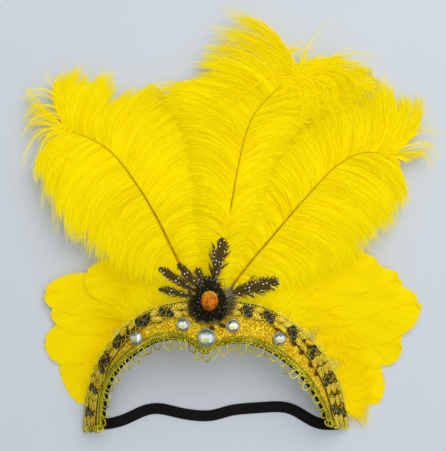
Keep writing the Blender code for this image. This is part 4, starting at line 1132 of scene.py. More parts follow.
plumes = {
    "ostrich_plume_left": {
        "shaft": (
            (-7.3, 92.4), (-11.8, 111.9), (-19.5, 132.9), (-27.3, 147.9), (-35.2, 163.9), (-48.4, 186.4),
            (-64.9, 209.3), (-75.0, 220.5), (-83.7, 226.5), (-94.1, 231.9), (-106.0, 236.1), (-113.1, 240.8),
        ),
        "outer": (
            (0.000, -10.1, 91.6), (0.120, -16.4, 108.9), (0.220, -28.6, 114.7), (0.330, -50.4, 117.3),
            (0.440, -69.7, 122.9), (0.540, -84.6, 131.4), (0.630, -98.5, 142.2), (0.710, -108.6, 150.8),
            (0.780, -116.4, 164.7), (0.840, -122.7, 178.7), (0.885, -128.5, 191.2), (0.920, -131.5, 195.6),
            (0.945, -132.7, 200.3), (0.958, -130.8, 209.0), (0.967, -126.8, 220.1), (0.985, -144.2, 237.4),
            (1.000, -139.4, 273.8),
        ),
        "inner": (
            (0.000, -4.5, 93.1), (0.100, -7.3, 111.9), (0.180, 0.9, 129.4), (0.260, 4.6, 148.2), (0.340, 6.0, 168.7),
            (0.420, 3.6, 192.0), (0.500, -1.3, 214.3), (0.580, -8.6, 235.9), (0.660, -19.6, 257.2),
            (0.740, -41.4, 275.1), (0.790, -56.5, 273.0), (0.825, -70.7, 265.1), (0.842, -83.4, 251.7),
            (0.850, -85.3, 249.3), (0.862, -81.0, 262.7), (0.885, -69.9, 273.8), (0.905, -73.1, 288.0),
            (0.930, -83.4, 282.5), (0.945, -90.5, 275.4), (0.960, -96.0, 289.6), (0.975, -103.9, 291.2),
            (0.990, -112.6, 285.6), (1.000, -117.3, 275.4),
        ),
    },
    "ostrich_plume_centre": {
        "shaft": (
            (5.5, 87.5), (7.8, 106.2), (10.8, 128.6), (15.3, 154.8), (19.9, 180.7), (25.0, 209.0), (30.3, 232.2),
            (35.8, 247.1), (42.6, 256.7), (52.3, 266.0), (60.1, 273.0), (68.7, 280.1),
        ),
        "outer": (
            (0.000, 2.5, 87.5), (0.100, 4.0, 109.2), (0.200, -4.0, 134.5), (0.280, -7.9, 154.8),
            (0.360, -10.3, 177.7), (0.440, -12.8, 198.7), (0.520, -16.2, 219.4), (0.600, -19.4, 236.9),
            (0.655, -31.3, 251.7), (0.700, -40.4, 263.8), (0.750, -44.0, 271.0), (0.790, -34.6, 273.4),
            (0.815, -18.6, 274.8), (0.850, -12.3, 284.8), (0.885, -10.7, 293.5), (0.915, -7.5, 302.2),
            (0.930, 12.2, 303.8), (0.945, 5.1, 310.1), (0.960, 1.2, 317.2), (0.972, 23.3, 317.2),
            (0.985, 13.0, 332.2), (1.000, 30.4, 329.1),
        ),
        "inner": (
            (0.000, 8.5, 87.5), (0.100, 12.3, 107.7), (0.200, 24.3, 134.5), (0.280, 33.5, 154.8),
            (0.360, 42.9, 175.4), (0.440, 50.9, 197.2), (0.520, 59.1, 214.7), (0.600, 67.9, 229.0),
            (0.680, 78.2, 240.1), (0.760, 90.7, 247.9), (0.820, 101.7, 257.3), (0.870, 112.7, 266.8),
            (0.910, 120.5, 277.7), (0.950, 114.3, 288.7), (0.980, 90.7, 293.4), (1.000, 73.4, 298.1),
        ),
    },
    "ostrich_plume_right": {
        "shaft": (
            (11.5, 84.5), (13.8, 99.6), (20.6, 117.7), (28.6, 127.4), (35.2, 135.7), (46.0, 147.8), (63.3, 167.8),
            (80.1, 186.6), (97.8, 205.6), (110.7, 215.2), (122.7, 220.0), (132.2, 220.0), (144.7, 218.4),
        ),
        "outer": (
            (0.000, 13.8, 83.7), (0.100, 17.2, 98.8), (0.160, 31.2, 107.0), (0.240, 56.7, 109.5),
            (0.320, 77.4, 113.5), (0.400, 97.8, 119.6), (0.480, 115.0, 128.9), (0.560, 129.0, 141.4),
            (0.640, 139.9, 150.7), (0.720, 149.2, 160.1), (0.800, 155.2, 171.1), (0.860, 157.2, 178.2),
            (0.900, 156.8, 185.3), (0.940, 154.4, 194.8), (0.970, 150.5, 207.4), (0.985, 168.7, 213.7),
            (1.000, 178.1, 229.5),
        ),
        "inner": (
            (0.000, 9.2, 85.2), (0.080, 11.5, 101.1), (0.180, 10.8, 124.2), (0.260, 16.9, 145.3),
            (0.340, 24.7, 164.4), (0.420, 32.6, 183.7), (0.500, 41.4, 202.7), (0.580, 52.0, 222.0),
            (0.660, 65.6, 239.6), (0.740, 88.2, 251.9), (0.820, 107.3, 261.4), (0.860, 122.1, 262.7),
            (0.895, 129.9, 265.1), (0.915, 136.3, 276.9), (0.930, 141.0, 282.5), (0.945, 145.8, 273.0),
            (0.955, 147.3, 263.5), (0.968, 154.4, 268.3), (0.982, 163.9, 269.0), (0.992, 171.8, 263.5),
            (1.000, 172.6, 251.7),
        ),
    },
    "ostrich_plume_back_left": {
        "shaft": (
            (-1.4, 88.7), (-1.4, 105.4), (-4.6, 143.3), (-11.0, 181.8), (-20.3, 221.9), (-27.5, 249.1),
            (-30.7, 263.4),
        ),
        "outer": (
            (0.000, -3.7, 88.7), (0.100, -4.4, 105.4), (0.280, -15.2, 134.1), (0.420, -26.3, 160.1),
            (0.550, -37.6, 185.0), (0.680, -48.5, 210.5), (0.800, -57.7, 233.1), (0.900, -64.1, 252.3),
            (0.960, -62.5, 265.0), (1.000, -49.8, 272.2),
        ),
        "inner": (
            (0.000, 0.9, 88.7), (0.100, 1.6, 105.4), (0.280, 3.9, 134.2), (0.420, 6.1, 160.1), (0.550, 6.0, 184.9),
            (0.680, 5.1, 210.5), (0.800, 4.3, 233.1), (0.900, 1.1, 253.9), (0.960, -3.7, 268.2),
            (1.000, -19.6, 273.0),
        ),
    },
    "ostrich_plume_back_right": {
        "shaft": (
            (19.9, 86.7), (21.4, 103.5), (29.2, 133.9), (43.4, 172.5), (62.2, 211.6), (79.3, 244.7), (94.5, 267.1),
            (106.5, 279.8),
        ),
        "outer": (
            (0.000, 17.8, 86.7), (0.100, 19.5, 104.3), (0.300, 24.5, 134.0), (0.420, 30.9, 162.4),
            (0.540, 38.9, 191.4), (0.660, 47.3, 220.5), (0.780, 55.4, 247.9), (0.870, 65.0, 268.7),
            (0.940, 77.7, 286.2), (1.000, 98.5, 294.2),
        ),
        "inner": (
            (0.000, 22.0, 86.7), (0.100, 24.5, 103.5), (0.300, 43.1, 133.8), (0.420, 60.5, 153.8),
            (0.540, 77.4, 175.7), (0.660, 96.8, 198.0), (0.780, 114.9, 218.9), (0.870, 128.9, 238.3),
            (0.940, 140.1, 257.5), (0.980, 140.1, 273.4), (1.000, 125.7, 289.4),
        ),
    },
}

plumeMake = {
    # layer, strands, locks to a side, turn of the tips on each side, relief in mm, shaft radius, seed
    "ostrich_plume_left": (1, 8300, 84, (1.15, 0.45), 2.6, 1.15, 11),
    "ostrich_plume_centre": (0, 8400, 84, (0.75, 0.55), 2.6, 0.60, 12),
    "ostrich_plume_right": (2, 8300, 84, (0.85, 0.40), 2.6, 0.95, 13),
    "ostrich_plume_back_left": (3, 4000, 50, (0.45, 0.45), 2.6, 0.5, 14),
    "ostrich_plume_back_right": (4, 5200, 56, (0.55, 1.10), 2.8, 0.5, 15),
}
thinTips = {
    # side, from which share of the shaft its barbs grow sparse, the share of them kept, and how much they curl
    "ostrich_plume_left": {"outer": (0.962, 0.10, 0.8), "inner": (0.985, 0.60, 0.2)},
    "ostrich_plume_centre": {"outer": (0.905, 0.30, 0.2), "inner": (0.800, 0.20, 1.6)},
    "ostrich_plume_right": {"outer": (0.972, 0.10, 0.8), "inner": (0.985, 0.60, 0.2)},
    "ostrich_plume_back_left": {"outer": (0.900, 0.45, 0.5), "inner": (0.900, 0.45, 0.5)},
    "ostrich_plume_back_right": {"outer": (0.780, 0.50, 1.0), "inner": (0.600, 0.26, 1.7)},
}
barbTaper = (0.85, 1.0, 0.95, 0.76, 0.50, 0.14)
barbLook = {"steps": 6, "width": 0.87, "start": 0.05, "gather": 0.66, "spread": 1.9, "shortest": 0.62, "free": 0.20}
shaftRows = 400
shaftShares = np.linspace(0, 1, shaftRows)


def curveThrough(start, one, two, end, u):
    return start * (1 - u) ** 3 + 3 * one * u * (1 - u) ** 2 + 3 * two * u**2 * (1 - u) + end * u**3


class Plume:
    def __init__(self, table, layer, turns, thin):
        self.layer = layer
        self.turns = dict(zip(("outer", "inner"), turns))
        self.thin = thin
        self.shaft = evenLine(table["shaft"], shaftRows, 24)
        self.ahead = unit(np.gradient(self.shaft, axis=0))
        self.ends = {}
        for side in ("outer", "inner"):
            rows = np.array(table[side])
            self.ends[side] = np.stack([np.interp(shaftShares, rows[:, 0], rows[:, i]) for i in (1, 2)], axis=-1)
        self.run = lineRun(self.shaft)
        self.start = underBand(self.shaft[0, 0], 1.7)

    def barbs(self, at, ends, steps, turn):
        # Plan curves from the shaft to these ends: forward at first, and turning away at the tip.
        root = pick(self.shaft, at)
        forward = pick(self.ahead, at)
        reach = ends - root
        length = np.linalg.norm(reach, axis=1, keepdims=True)
        mean = reach / np.maximum(length, 1e-6)
        one = root + unit(mean + forward * 0.65) * length * 0.36
        two = ends - unit(mean - forward * turn) * length * 0.36
        u = np.linspace(0, 1, steps)[None, :, None]
        return curveThrough(*(points[:, None] for points in (root, one, two, ends)), u)

    def level(self, plan, at):
        tie = np.clip(1 - np.interp(at, shaftShares, self.run) / 20, 0, 1)
        tie = tie.reshape(tie.shape + (1,) * (plan.ndim - 1 - tie.ndim))
        return layerLevel(plan[..., 0], plan[..., 1], self.layer) * (1 - tie) + self.start * tie + 0.8


def evenShares(plume, side, random, count):
    # Shares of the shaft, closer together where the barb ends are far apart.
    ends = plume.ends[side]
    weight = np.linalg.norm(np.diff(ends, axis=0), axis=1) * 0.7 + np.diff(plume.run) * 0.45
    grown = np.concatenate([[0], np.cumsum(weight)])
    return np.interp(random, grown / grown[-1], shaftShares)


def addPlumeWeb(shape, plume, side, kind):
    rows, columns = 100, 10
    thinFrom = plume.thin[side][0]
    at = np.linspace(0.03, thinFrom, rows)
    ends = pick(plume.ends[side], at)
    root = pick(plume.shaft, at)
    fringe = 0.76 + 0.10 * np.sin(at * 230) * np.sin(at * 71 + 1) - 0.16 * smooth((at - thinFrom + 0.10) / 0.10)
    plan = plume.barbs(at, root + (ends - root) * fringe[:, None], columns, plume.turns[side])
    height = plume.level(plan, at) - 0.6 - 1.2 * np.linspace(0, 1, columns)[None, :] ** 2
    points = raised(plan, height, 0.4)
    lane = np.broadcast_to(at[:, None], (rows, columns)) + (0.0 if side == "outer" else 2.0)
    along = np.broadcast_to(np.linspace(0, 1, columns), (rows, columns))
    quads = gridQuads(rows, columns)
    shape.add(points, quads if side == "inner" else quads[:, ::-1], lane, along, kind)


def addBarbs(shape, plume, side, rng, count, locks, relief):
    steps = barbLook["steps"]
    thinFrom, kept, curl = plume.thin[side]
    lock = rng.integers(0, locks, count)
    lockAt = evenShares(plume, side, (np.arange(locks) + rng.uniform(0.2, 0.8, locks)) / locks, count)
    at = evenShares(plume, side, np.clip((lock + rng.normal(0.5, 0.42, count)) / locks, 0, 1), count)
    at = np.clip(at, barbLook["start"], 1)
    thin = (lockAt[lock] > thinFrom) | (at > thinFrom)
    keep = ~thin | (rng.uniform(0, 1, count) < kept)
    lock, at, thin = lock[keep], at[keep], thin[keep]
    count = len(at)
    free = (rng.uniform(0, 1, count) < barbLook["free"]) | thin
    gather = np.where(free, 0.9, barbLook["gather"] * rng.uniform(0.5, 1.15, count))[:, None]
    ends = pick(plume.ends[side], at) * (1 - gather) + pick(plume.ends[side], lockAt[lock]) * gather
    root = pick(plume.shaft, at)
    reach = ends - root
    lockReach = rng.uniform(0.86, 0.99, locks)
    freeReach = rng.uniform(0.94, 1.06, locks)
    share = lockReach[lock] * (1 - (1 - barbLook["shortest"]) * rng.uniform(0, 1, count) ** 1.7)
    share = np.where(free, freeReach[lock] * (1 - 0.16 * rng.uniform(0, 1, count)), share)
    spread = rng.normal(0, barbLook["spread"], (count, 2)) * np.where(free, 0.45, 0.8)[:, None]
    ends = root + reach * share[:, None] + spread
    turn = plume.turns[side] * rng.uniform(0.75, 1.25, locks)[lock] + np.where(thin, curl, 0.0)
    turn = turn + rng.normal(0, 0.12, count)
    plan = plume.barbs(at, ends, steps, turn[:, None])
    across = unit(leftOf(reach))[:, None]
    u = np.linspace(0, 1, steps)[None, :]
    phase = rng.uniform(0, 6.28, locks)[lock] + rng.normal(0, 0.5, count)
    sway = rng.uniform(0.2, 1.6, locks)[lock] * rng.uniform(0.6, 1.4, count)
    swing = np.sin(u * rng.uniform(3.5, 8.0, locks)[lock][:, None] + phase[:, None]) * u**1.5 * sway[:, None]
    plan = plan + across * swing[..., None]
    lift = rng.uniform(0, 1, locks)[lock] * relief + rng.uniform(-0.5, 0.5, count)
    height = plume.level(plan, at) + np.sin(np.pi * u**0.7) * lift[:, None]
    height = height + np.sin(u * 5 + phase[:, None]) * 0.3 - u**3 * rng.uniform(0, 2.6, count)[:, None]
    paths = raised(plan, height)
    width = barbLook["width"] * rng.uniform(0.6, 1.25, count) * np.where(thin, 0.8, 1.0)
    shade = rng.uniform(0.0, 1.0, locks)[lock] * 0.34 + rng.uniform(0, 0.66, count)
    ribbons(shape, paths, width, rng.normal(0, 0.5, count), barbTaper, shade, 0)


def addQuill(shape, plume, thick, kind):
    at = np.linspace(0.0, 0.955, 90)
    plan = pick(plume.shaft, at)
    sunk = 2.6 * smooth((0.46 - at) / 0.1) * (thick < 0.9) + 3.0 * (thick < 0.55)
    path = raised(plan, plume.level(plan, at) + 1.3 - sunk, 1.0)[None]
    tubes(shape, path, (thick * (1 - at) ** 1.35 + 0.13)[None], 8, 0.5, kind)


def addDown(shape, rng, start, end, layer, count, longest, tilt=0.0):
    # Loose down from under the crown edge of the band, between two shares of its length.
    share = rng.uniform(start, end, count)
    crown, brow = pick(crownLine, share), pick(browLine, share)
    away = unit(crown - brow)
    beside = leftOf(away)
    steps = barbLook["steps"]
    u = np.linspace(0, 1, steps)[None, :]
    length = rng.uniform(0.45, 1, count)[:, None] * longest
    lean = rng.normal(tilt, 0.45 - abs(tilt), (count, 1))
    bend = rng.normal(0, 0.35, (count, 1))
    wave = np.sin(u * rng.uniform(3, 9, (count, 1)) + rng.uniform(0, 6, (count, 1))) * u * 1.6
    plan = (crown - away * 5)[:, None] + away[:, None] * (length * u)[..., None]
    plan = plan + beside[:, None] * (length * (lean * u + bend * u**2) + wave)[..., None]
    under = archHeight(plan[..., 0]) - 4.0
    height = layerLevel(plan[..., 0], plan[..., 1], layer) + rng.uniform(0.5, 3.0, (count, 1))
    height = height * smooth(u * 3) + np.minimum(under, height) * (1 - smooth(u * 3))
    paths = raised(plan, height)
    wisps(shape, paths, rng, 0.62, 0.6, barbTaper, (0.1, 1))


downs = {
    # start and end along the band, layer, strands, greatest length in mm
    "ostrich_plume_back_left": (0.30, 0.50, 3.4, 2600, 30.0),
    "ostrich_plume_back_right": (0.50, 0.70, 3.4, 2600, 30.0),
}


strays = {
    # loose locks: start, two bends and end on the plan in millimetres, and the number of strands
    "ostrich_plume_left": (
        (-111.0, 251.7, -117.3, 267.5, -122.8, 280.1, -128.4, 282.5, 4),
        (-111.0, 251.7, -115.7, 262.7, -120.5, 273.8, -126.8, 279.3, 4),
        (-111.0, 250.9, -116.5, 270.6, -131.5, 272.2, -144.2, 265.1, 8),
        (-111.0, 249.3, -118.1, 267.5, -134.7, 266.7, -145.8, 258.8, 5),
        (-111.8, 247.7, -118.9, 262.7, -138.7, 258.0, -145.0, 244.6, 8),
        (-111.8, 246.1, -119.7, 254.8, -136.3, 254.0, -147.3, 230.3, 6),
        (-111.8, 244.6, -122.8, 250.9, -140.2, 248.5, -140.2, 234.3, 6),
        (-111.0, 242.2, -123.6, 237.4, -141.0, 239.0, -142.6, 208.2, 7),
        (-111.0, 241.4, -123.6, 234.3, -133.1, 229.5, -133.9, 197.2, 9),
        (-109.4, 240.6, -120.5, 229.5, -126.8, 213.7, -127.6, 176.6, 9),
        (-106.3, 237.4, -115.7, 223.2, -120.5, 205.8, -118.9, 164.8, 8),
        (-101.5, 235.1, -112.6, 216.9, -118.1, 190.0, -116.5, 153.7, 6),
    ),
    "ostrich_plume_centre": (
        (71.5, 279.3, 68.3, 299.1, 43.8, 327.5, 12.2, 333.0, 8),
        (71.5, 279.3, 66.0, 297.5, 43.8, 322.8, 15.4, 329.1, 7),
        (70.7, 278.5, 66.0, 295.9, 40.7, 318.0, 1.2, 317.2, 7),
        (69.1, 277.7, 61.2, 297.5, 35.9, 313.3, 5.1, 309.3, 7),
        (71.5, 284.8, 76.2, 300.6, 86.5, 314.1, 100.7, 323.6, 3),
        (94.4, 289.6, 100.7, 295.9, 107.8, 300.6, 114.9, 303.0, 3),
        (96.0, 290.4, 105.5, 299.1, 119.7, 297.5, 132.3, 295.9, 4),
        (107.0, 288.0, 116.5, 287.2, 124.4, 291.2, 131.5, 293.5, 4),
        (71.5, 280.1, 79.4, 291.2, 103.9, 294.3, 129.2, 284.1, 10),
        (71.5, 279.3, 81.8, 289.6, 105.5, 292.7, 123.6, 285.6, 8),
        (72.3, 278.5, 83.3, 288.0, 110.2, 291.2, 121.3, 267.5, 9),
        (73.1, 276.9, 88.1, 289.6, 118.1, 288.0, 130.7, 264.3, 9),
        (73.1, 275.4, 86.5, 284.8, 107.0, 284.8, 114.9, 258.0, 9),
        (73.9, 273.8, 83.3, 281.7, 100.7, 280.1, 103.9, 253.2, 9),
        (70.7, 273.8, 78.6, 275.4, 88.1, 267.5, 86.5, 243.8, 8),
        (67.5, 272.2, 73.9, 270.6, 77.0, 258.0, 71.5, 239.0, 8),
        (78.6, 276.9, 91.2, 283.3, 105.5, 273.8, 99.1, 262.7, 7),
        (97.6, 283.3, 113.4, 284.8, 124.4, 272.2, 114.9, 262.7, 7),
        (109.4, 281.7, 122.8, 283.3, 133.9, 270.6, 135.5, 251.7, 7),
        (48.6, 291.2, 26.5, 273.8, 5.9, 258.0, -13.0, 246.9, 5),
        (58.1, 284.8, 34.4, 270.6, 7.5, 246.9, -16.2, 229.5, 5),
    ),
    "ostrich_plume_right": (
        (145.8, 221.6, 156.0, 231.1, 168.7, 242.2, 182.9, 242.2, 6),
        (146.5, 220.9, 159.2, 231.1, 178.1, 243.8, 184.5, 232.7, 5),
        (147.3, 220.1, 160.8, 228.0, 179.7, 231.1, 182.9, 215.3, 7),
        (147.3, 219.3, 159.2, 223.2, 171.8, 227.2, 180.5, 225.6, 6),
        (147.3, 218.5, 162.3, 220.1, 177.3, 221.6, 177.3, 205.1, 6),
        (147.3, 218.5, 156.8, 221.6, 167.1, 218.5, 178.1, 216.9, 5),
        (146.5, 221.6, 152.9, 233.5, 163.9, 248.5, 175.0, 251.7, 7),
        (145.0, 223.2, 148.9, 237.4, 159.2, 253.2, 169.5, 258.8, 7),
        (143.4, 224.0, 141.8, 245.3, 139.4, 264.3, 140.2, 283.3, 7),
        (144.2, 223.2, 146.5, 245.3, 146.5, 262.7, 147.3, 280.9, 4),
    ),
    "ostrich_plume_back_left": (
        (-47.8, 258.0, -46.2, 264.3, -45.4, 269.0, -44.6, 276.2, 5),
        (-52.5, 261.1, -47.8, 269.0, -43.1, 273.8, -36.7, 275.4, 5),
        (-44.6, 256.4, -40.7, 262.7, -39.1, 267.5, -39.9, 273.0, 4),
    ),
    "ostrich_plume_back_right": (
        (97.6, 245.3, 88.1, 258.0, 80.2, 264.3, 72.3, 261.1, 8),
        (109.4, 246.9, 105.5, 264.3, 91.2, 273.8, 81.8, 269.0, 8),
        (114.9, 242.2, 122.8, 258.0, 119.7, 273.8, 108.6, 276.9, 8),
        (124.4, 237.4, 133.9, 251.7, 132.3, 267.5, 122.8, 273.8, 8),
        (105.5, 237.4, 94.4, 251.7, 91.2, 264.3, 97.6, 272.2, 8),
        (118.1, 243.8, 114.9, 262.7, 103.9, 270.6, 94.4, 265.9, 7),
        (129.2, 240.6, 138.6, 254.8, 137.1, 265.9, 130.7, 270.6, 6),
        (91.2, 242.2, 81.8, 251.7, 78.6, 258.0, 80.2, 267.5, 7),
    ),
}


def addStrays(shape, plume, locks, rng):
    steps = 14
    u = np.linspace(0, 1, steps)
    uneven = np.array([0.5, 1.6, 2.0, 1.8])[None, :, None]
    for *bends, count in locks:
        bends = np.reshape(bends, (4, 2)) + rng.normal(0, 1, (count, 4, 2)) * uneven
        plan = curveThrough(*(bends[:, i, None] for i in range(4)), u[:, None])
        height = layerLevel(plan[..., 0], plan[..., 1], plume.layer) + 2.2 + 2 * np.sin(u[None] * 2.5)
        paths = raised(plan, height + rng.normal(0, 0.5, (count, 1)))
        wisps(shape, paths, rng, 0.62, 0.4, np.linspace(1, 0.2, steps), (0.3, 1))


curls = {
    # a patch of loose curls: its middle and half widths on the plan in mm, strands, longest strand
    "ostrich_plume_centre": (94.0, 276.0, 24.0, 15.0, 190, 46.0),
    "ostrich_plume_back_right": (116.0, 263.0, 26.0, 15.0, 330, 42.0),
}


def addCurls(shape, plume, patch, rng):
    middleX, middleY, halfX, halfY, count, longest = patch
    steps, bunch = 16, 7
    many = count // bunch
    start = np.stack([rng.uniform(-1, 1, many) * 0.7 - 1, rng.uniform(-1, 1, many)], axis=-1)
    start = np.array([middleX, middleY]) + start * [halfX, halfY]
    heading = rng.uniform(-0.2, 1.3, many)
    bend = -rng.uniform(2.0, 4.8, many)
    length = rng.uniform(0.5, 1.0, many) * longest
    start, heading, bend, length = (np.repeat(v, bunch, axis=0) for v in (start, heading, bend, length))
    total = len(heading)
    start = start + rng.normal(0, 0.9, (total, 2))
    heading = heading + rng.normal(0, 0.10, total)
    bend = bend * rng.uniform(0.85, 1.15, total)
    u = np.linspace(0, 1, steps)[None]
    angle = heading[:, None] + bend[:, None] * u**1.5
    step = (length * rng.uniform(0.85, 1.1, total) / (steps - 1))[:, None, None]
    plan = start[:, None] + np.cumsum(np.stack([np.cos(angle), np.sin(angle)], axis=-1) * step, axis=1)
    height = layerLevel(plan[..., 0], plan[..., 1], plume.layer) + rng.uniform(1.0, 3.5, (total, 1))
    paths = raised(plan, height + np.sin(u * 3) * 1.5)
    wisps(shape, paths, rng, 0.66, 0.4, np.linspace(1, 0.25, steps), (0.1, 1))


def buildPlumes():
    for name, (layer, strands, locks, turns, relief, thick, seed) in plumeMake.items():
        rng = np.random.default_rng(seed)
        plume = Plume(plumes[name], layer, turns, thinTips[name])
        shape = Shape()
        for side in ("outer", "inner"):
            addPlumeWeb(shape, plume, side, 1)
            addBarbs(shape, plume, side, rng, strands // 2, locks, relief)
        addStrays(shape, plume, strays.get(name, ()), rng)
        if name in curls:
            addCurls(shape, plume, curls[name], rng)
        addQuill(shape, plume, thick, 2)
        if name in downs:
            start, end, level, count, longest = downs[name]
            addDown(shape, rng, start, end, level, count, longest)
        shape.made(name.replace("ostrich_", "") + "_feather", (plumeBarbs, plumeWeb, quill), "plume", name)
        print("stage: plume", name, "quads", sum(len(q) for q in shape.quads))


# Side feathers: smooth webs with rounded ends.

gooseFeathers = {
    # base x, base y, tip x, tip y, half width to the plumes, half width to the band's end, layer
    "goose_feather_left_1": (-0.36, 0.905, -1.000, 1.175, 18.5, 19.0, 5),
    "goose_feather_left_2": (-0.46, 0.85, -1.350, 1.03, 16.5, 18.0, 7),
    "goose_feather_left_3": (-0.56, 0.765, -1.300, 0.90, 16.0, 17.0, 8),
    "goose_feather_left_4": (-0.66, 0.645, -1.355, 0.665, 12.5, 25.0, 9),
    "goose_feather_left_5": (-0.74, 0.53, -1.105, 0.205, 28.0, 13.0, 10),
    "goose_feather_right_1": (0.40, 0.85, 0.930, 1.47, 19.0, 21.0, 5),
    "goose_feather_right_2": (0.52, 0.77, 1.235, 1.26, 21.0, 20.0, 6),
    "goose_feather_right_3": (0.61, 0.70, 1.390, 1.14, 19.0, 20.0, 7),
    "goose_feather_right_4": (0.69, 0.62, 1.525, 0.97, 23.0, 26.0, 8),
    "goose_feather_right_5": (0.76, 0.53, 1.412, 0.645, 22.0, 23.0, 9),
    "goose_feather_right_6": (0.82, 0.43, 1.262, 0.205, 24.0, 9.0, 10),
}
gooseOutline = np.array([
    (0.00, 0.03), (0.17, 0.05), (0.26, 0.42), (0.34, 0.66), (0.42, 0.84), (0.52, 0.95), (0.62, 1.00), (0.72, 0.98),
    (0.80, 0.92), (0.87, 0.80), (0.93, 0.62), (0.97, 0.42), (1.00, 0.16),
])
gooseLook = {"barbs": 230, "steps": 7, "width": 0.80, "slant": 0.24, "dome": 2.2, "down": 220}


def buildGoose():
    for number, (name, (baseX, baseY, tipX, tipY, near, far, layer)) in enumerate(gooseFeathers.items()):
        rng = np.random.default_rng(40 + number)
        base = np.array([planX(baseX), baseY * lie["crownReach"]])
        tip = np.array([planX(tipX), tipY * lie["crownReach"]])
        ahead = tip - base
        length = np.linalg.norm(ahead)
        side = leftOf(ahead) / length * (-1 if baseX < 0 else 1)
        start = underBand(base[0], 0.84)
        tuck = 0.19 * length

        def along(share):
            bow = 5.0 + 3.0 * math.sin(number * 2.3)
            return base + ahead * share[..., None] + side * (bow * np.sin(np.pi * share))[..., None]

        def level(plan, share, out):
            tie = np.clip(1 - share * length / tuck, 0, 1)
            flat = layerLevel(plan[..., 0], plan[..., 1], layer) * (1 - tie) + start * tie
            return flat + 0.7 + gooseLook["dome"] * (0.35 - out**2) * np.clip(share * 3 - 0.6, 0, 1) * 0.6

        shape = Shape()
        for turn, half in ((1, near), (-1, far)):
            count, steps = gooseLook["barbs"], gooseLook["steps"]
            q = np.linspace(0, 1, count)
            root = 0.17 + 0.81 * q
            end = np.minimum(root + gooseLook["slant"] * (1 - q**6), 1.0)
            u = np.linspace(0, 1, steps)[None, :]
            split = np.zeros(count)
            for at in rng.uniform(0.15, 0.95, 7):
                split += rng.uniform(0.02, 0.07) * np.exp(-(((q - at) / 0.006) ** 2))
            if name == "goose_feather_right_4" and turn == 1:
                for at, deep in ((0.80, 0.30), (0.86, 0.42), (0.91, 0.34)):
                    split += deep * np.exp(-(((q - at) / 0.009) ** 2))
            reach = (0.985 + rng.normal(0, 0.012, count) - split)[:, None] * u
            share = root[:, None] + (end - root)[:, None] * u**0.9
            shift = np.cumsum(rng.normal(0, 0.0007, count))
            share = np.clip(share + (shift - shift.mean())[:, None] * u**3, 0, 1.01)
            wide = np.interp(end, gooseOutline[:, 0], gooseOutline[:, 1]) * half
            plan = along(share) + side * (turn * reach * wide[:, None])[..., None]
            height = level(plan, share, reach) + rng.normal(0, 0.05, (count, 1))
            paths = raised(plan, height + np.sin(q * 19 + number)[:, None] * 0.5 * u)
            shade = 0.5 + 0.10 * np.sin(q * 17 + number * 2) + rng.normal(0, 0.13, count)
            width, taper = gooseLook["width"] * length / 100 * 1.15, (1.0, 1.0, 1.0, 1.0, 0.95, 0.85, 0.45)
            ribbons(shape, paths, width, rng.normal(0.10 * turn, 0.12, count), taper, shade, 0)
            web = paths[::3] - [0, 0, 0.35]
            web[:, -1] = web[:, -1] * 0.35 + web[:, -2] * 0.65
            quads = gridQuads(len(web), steps)
            lane = np.broadcast_to(q[::3][:, None], (len(web), steps)) + turn
            shape.add(web, quads if turn > 0 else quads[:, ::-1], lane, np.broadcast_to(u, (len(web), steps)), 1)
            # loose down at the foot of the web
            many = gooseLook["down"]
            foot = rng.uniform(0.10, 0.38, many)
            away = side * turn + ahead / length * rng.uniform(-0.3, 0.9, many)[:, None]
            reach = max(half, 12) * rng.uniform(0.4, 1.1, many) * np.clip(foot * 3.2, 0.45, 1)
            v = np.linspace(0, 1, 6)
            plan = along(foot)[:, None] + unit(away)[:, None] * (reach[:, None] * v)[..., None]
            curl = np.sin(v * rng.uniform(3, 9, (many, 1)) + rng.uniform(0, 6, (many, 1))) * v * 2.2
            plan = plan + (ahead / length) * curl[..., None]
            lift = level(plan, foot[:, None] + 0 * curl, v[None] * 0.8) + rng.uniform(-0.3, 1.4, (many, 1)) * v
            wisps(shape, raised(plan, lift), rng, 0.5, 0.7, np.linspace(1, 0.2, 6), (0.3, 1))
        share = np.linspace(0.0, 0.96, 40)
        plan = along(share)
        path = withHeight(plan, level(plan, share, 0 * share) + 0.35)[None]
        tubes(shape, path, (0.34 * (1 - share) ** 0.8 + 0.08)[None], 6, 0.8, 0)
        if name == "goose_feather_right_6":
            addDown(shape, rng, 0.885, 0.955, 9.0, 2300, 30.0, 0.22)
        shape.made(name.replace("goose", "side"), (gooseBarbs, gooseWeb), "goose", name)
    print("stage: side feathers")


# Floor, light and camera.

stageLook = {"floorSize": 6.0, "keyPower": 18.0, "fillPower": 4.4, "sky": (0.86, 0.90, 0.95), "skyStrength": 0.50}
cameraLook = {"place": (-0.00865, 0.00141, 0.721), "sensor": 36.0, "distance": 720, "pixels": 446, "pixelSize": 0.80}


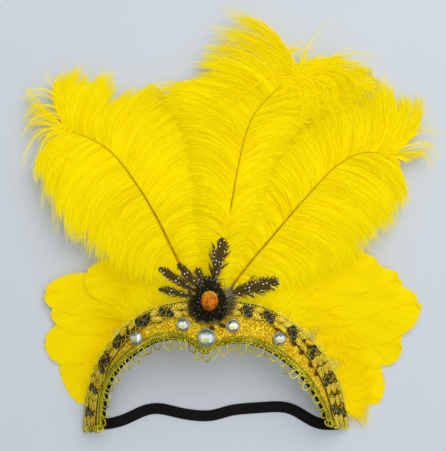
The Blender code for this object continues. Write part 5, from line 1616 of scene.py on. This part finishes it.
def buildStage():
    paper = Finish("floor paper", Roughness=0.7, Specular_IOR_Level=0.2)
    tone = paper.noise(paper.spot(), 1.6, 2.0)
    paper.feed(Base_Color=paper.mix(tone, (0.585, 0.625, 0.665), (0.615, 0.655, 0.695)))
    half = stageLook["floorSize"] / 2
    mesh = bpy.data.meshes.new("floor")
    mesh.from_pydata([(-half, -half, 0), (half, -half, 0), (half, half, 0), (-half, half, 0)], [], [(0, 1, 2, 3)])
    mesh.materials.append(paper.material)
    floor = linked("floor", mesh)
    for name, place, power, size in (
        ("key light", (0.50, 0.95, 1.30), stageLook["keyPower"], 1.5),
        ("fill light", (0.8, -0.7, 1.4), stageLook["fillPower"], 1.8),
        ("top light", (0.1, 0.1, 1.9), stageLook["fillPower"], 1.8),
    ):
        light = bpy.data.lights.new(name, "AREA")
        light.energy, light.size = power, size
        lamp = linked(name, light)
        lamp.location = place
        aim = np.array(place) / np.linalg.norm(place)
        lamp.rotation_euler = (math.acos(aim[2]), 0.0, math.atan2(aim[1], aim[0]) + math.pi / 2)
    world = bpy.data.worlds.new("room")
    world.use_nodes = True
    sky = world.node_tree.nodes["Background"]
    sky.inputs[0].default_value = (*stageLook["sky"], 1)
    sky.inputs[1].default_value = stageLook["skyStrength"]
    bpy.context.scene.world = world
    bpy.context.scene.view_settings.view_transform = "Standard"
    bpy.context.scene.view_settings.look = "None"


def buildCamera():
    # Straight above, with so many millimetres of floor to a pixel.
    lens = bpy.data.cameras.new("camera")
    lens.sensor_fit = "HORIZONTAL"
    lens.sensor_width = cameraLook["sensor"]
    lens.lens = cameraLook["sensor"] * cameraLook["distance"] / (cameraLook["pixels"] * cameraLook["pixelSize"])
    lens.clip_start = 0.01
    camera = linked("camera", lens)
    camera.location = cameraLook["place"]
    bpy.context.scene.camera = camera


buildPlumes()
buildGoose()
buildBand()
buildLowerBraid()
for name, row in trims.items():
    buildTrim(name, *row)
buildStones()
buildRosette()
buildGuineas()
buildStrap()
buildStage()
buildCamera()
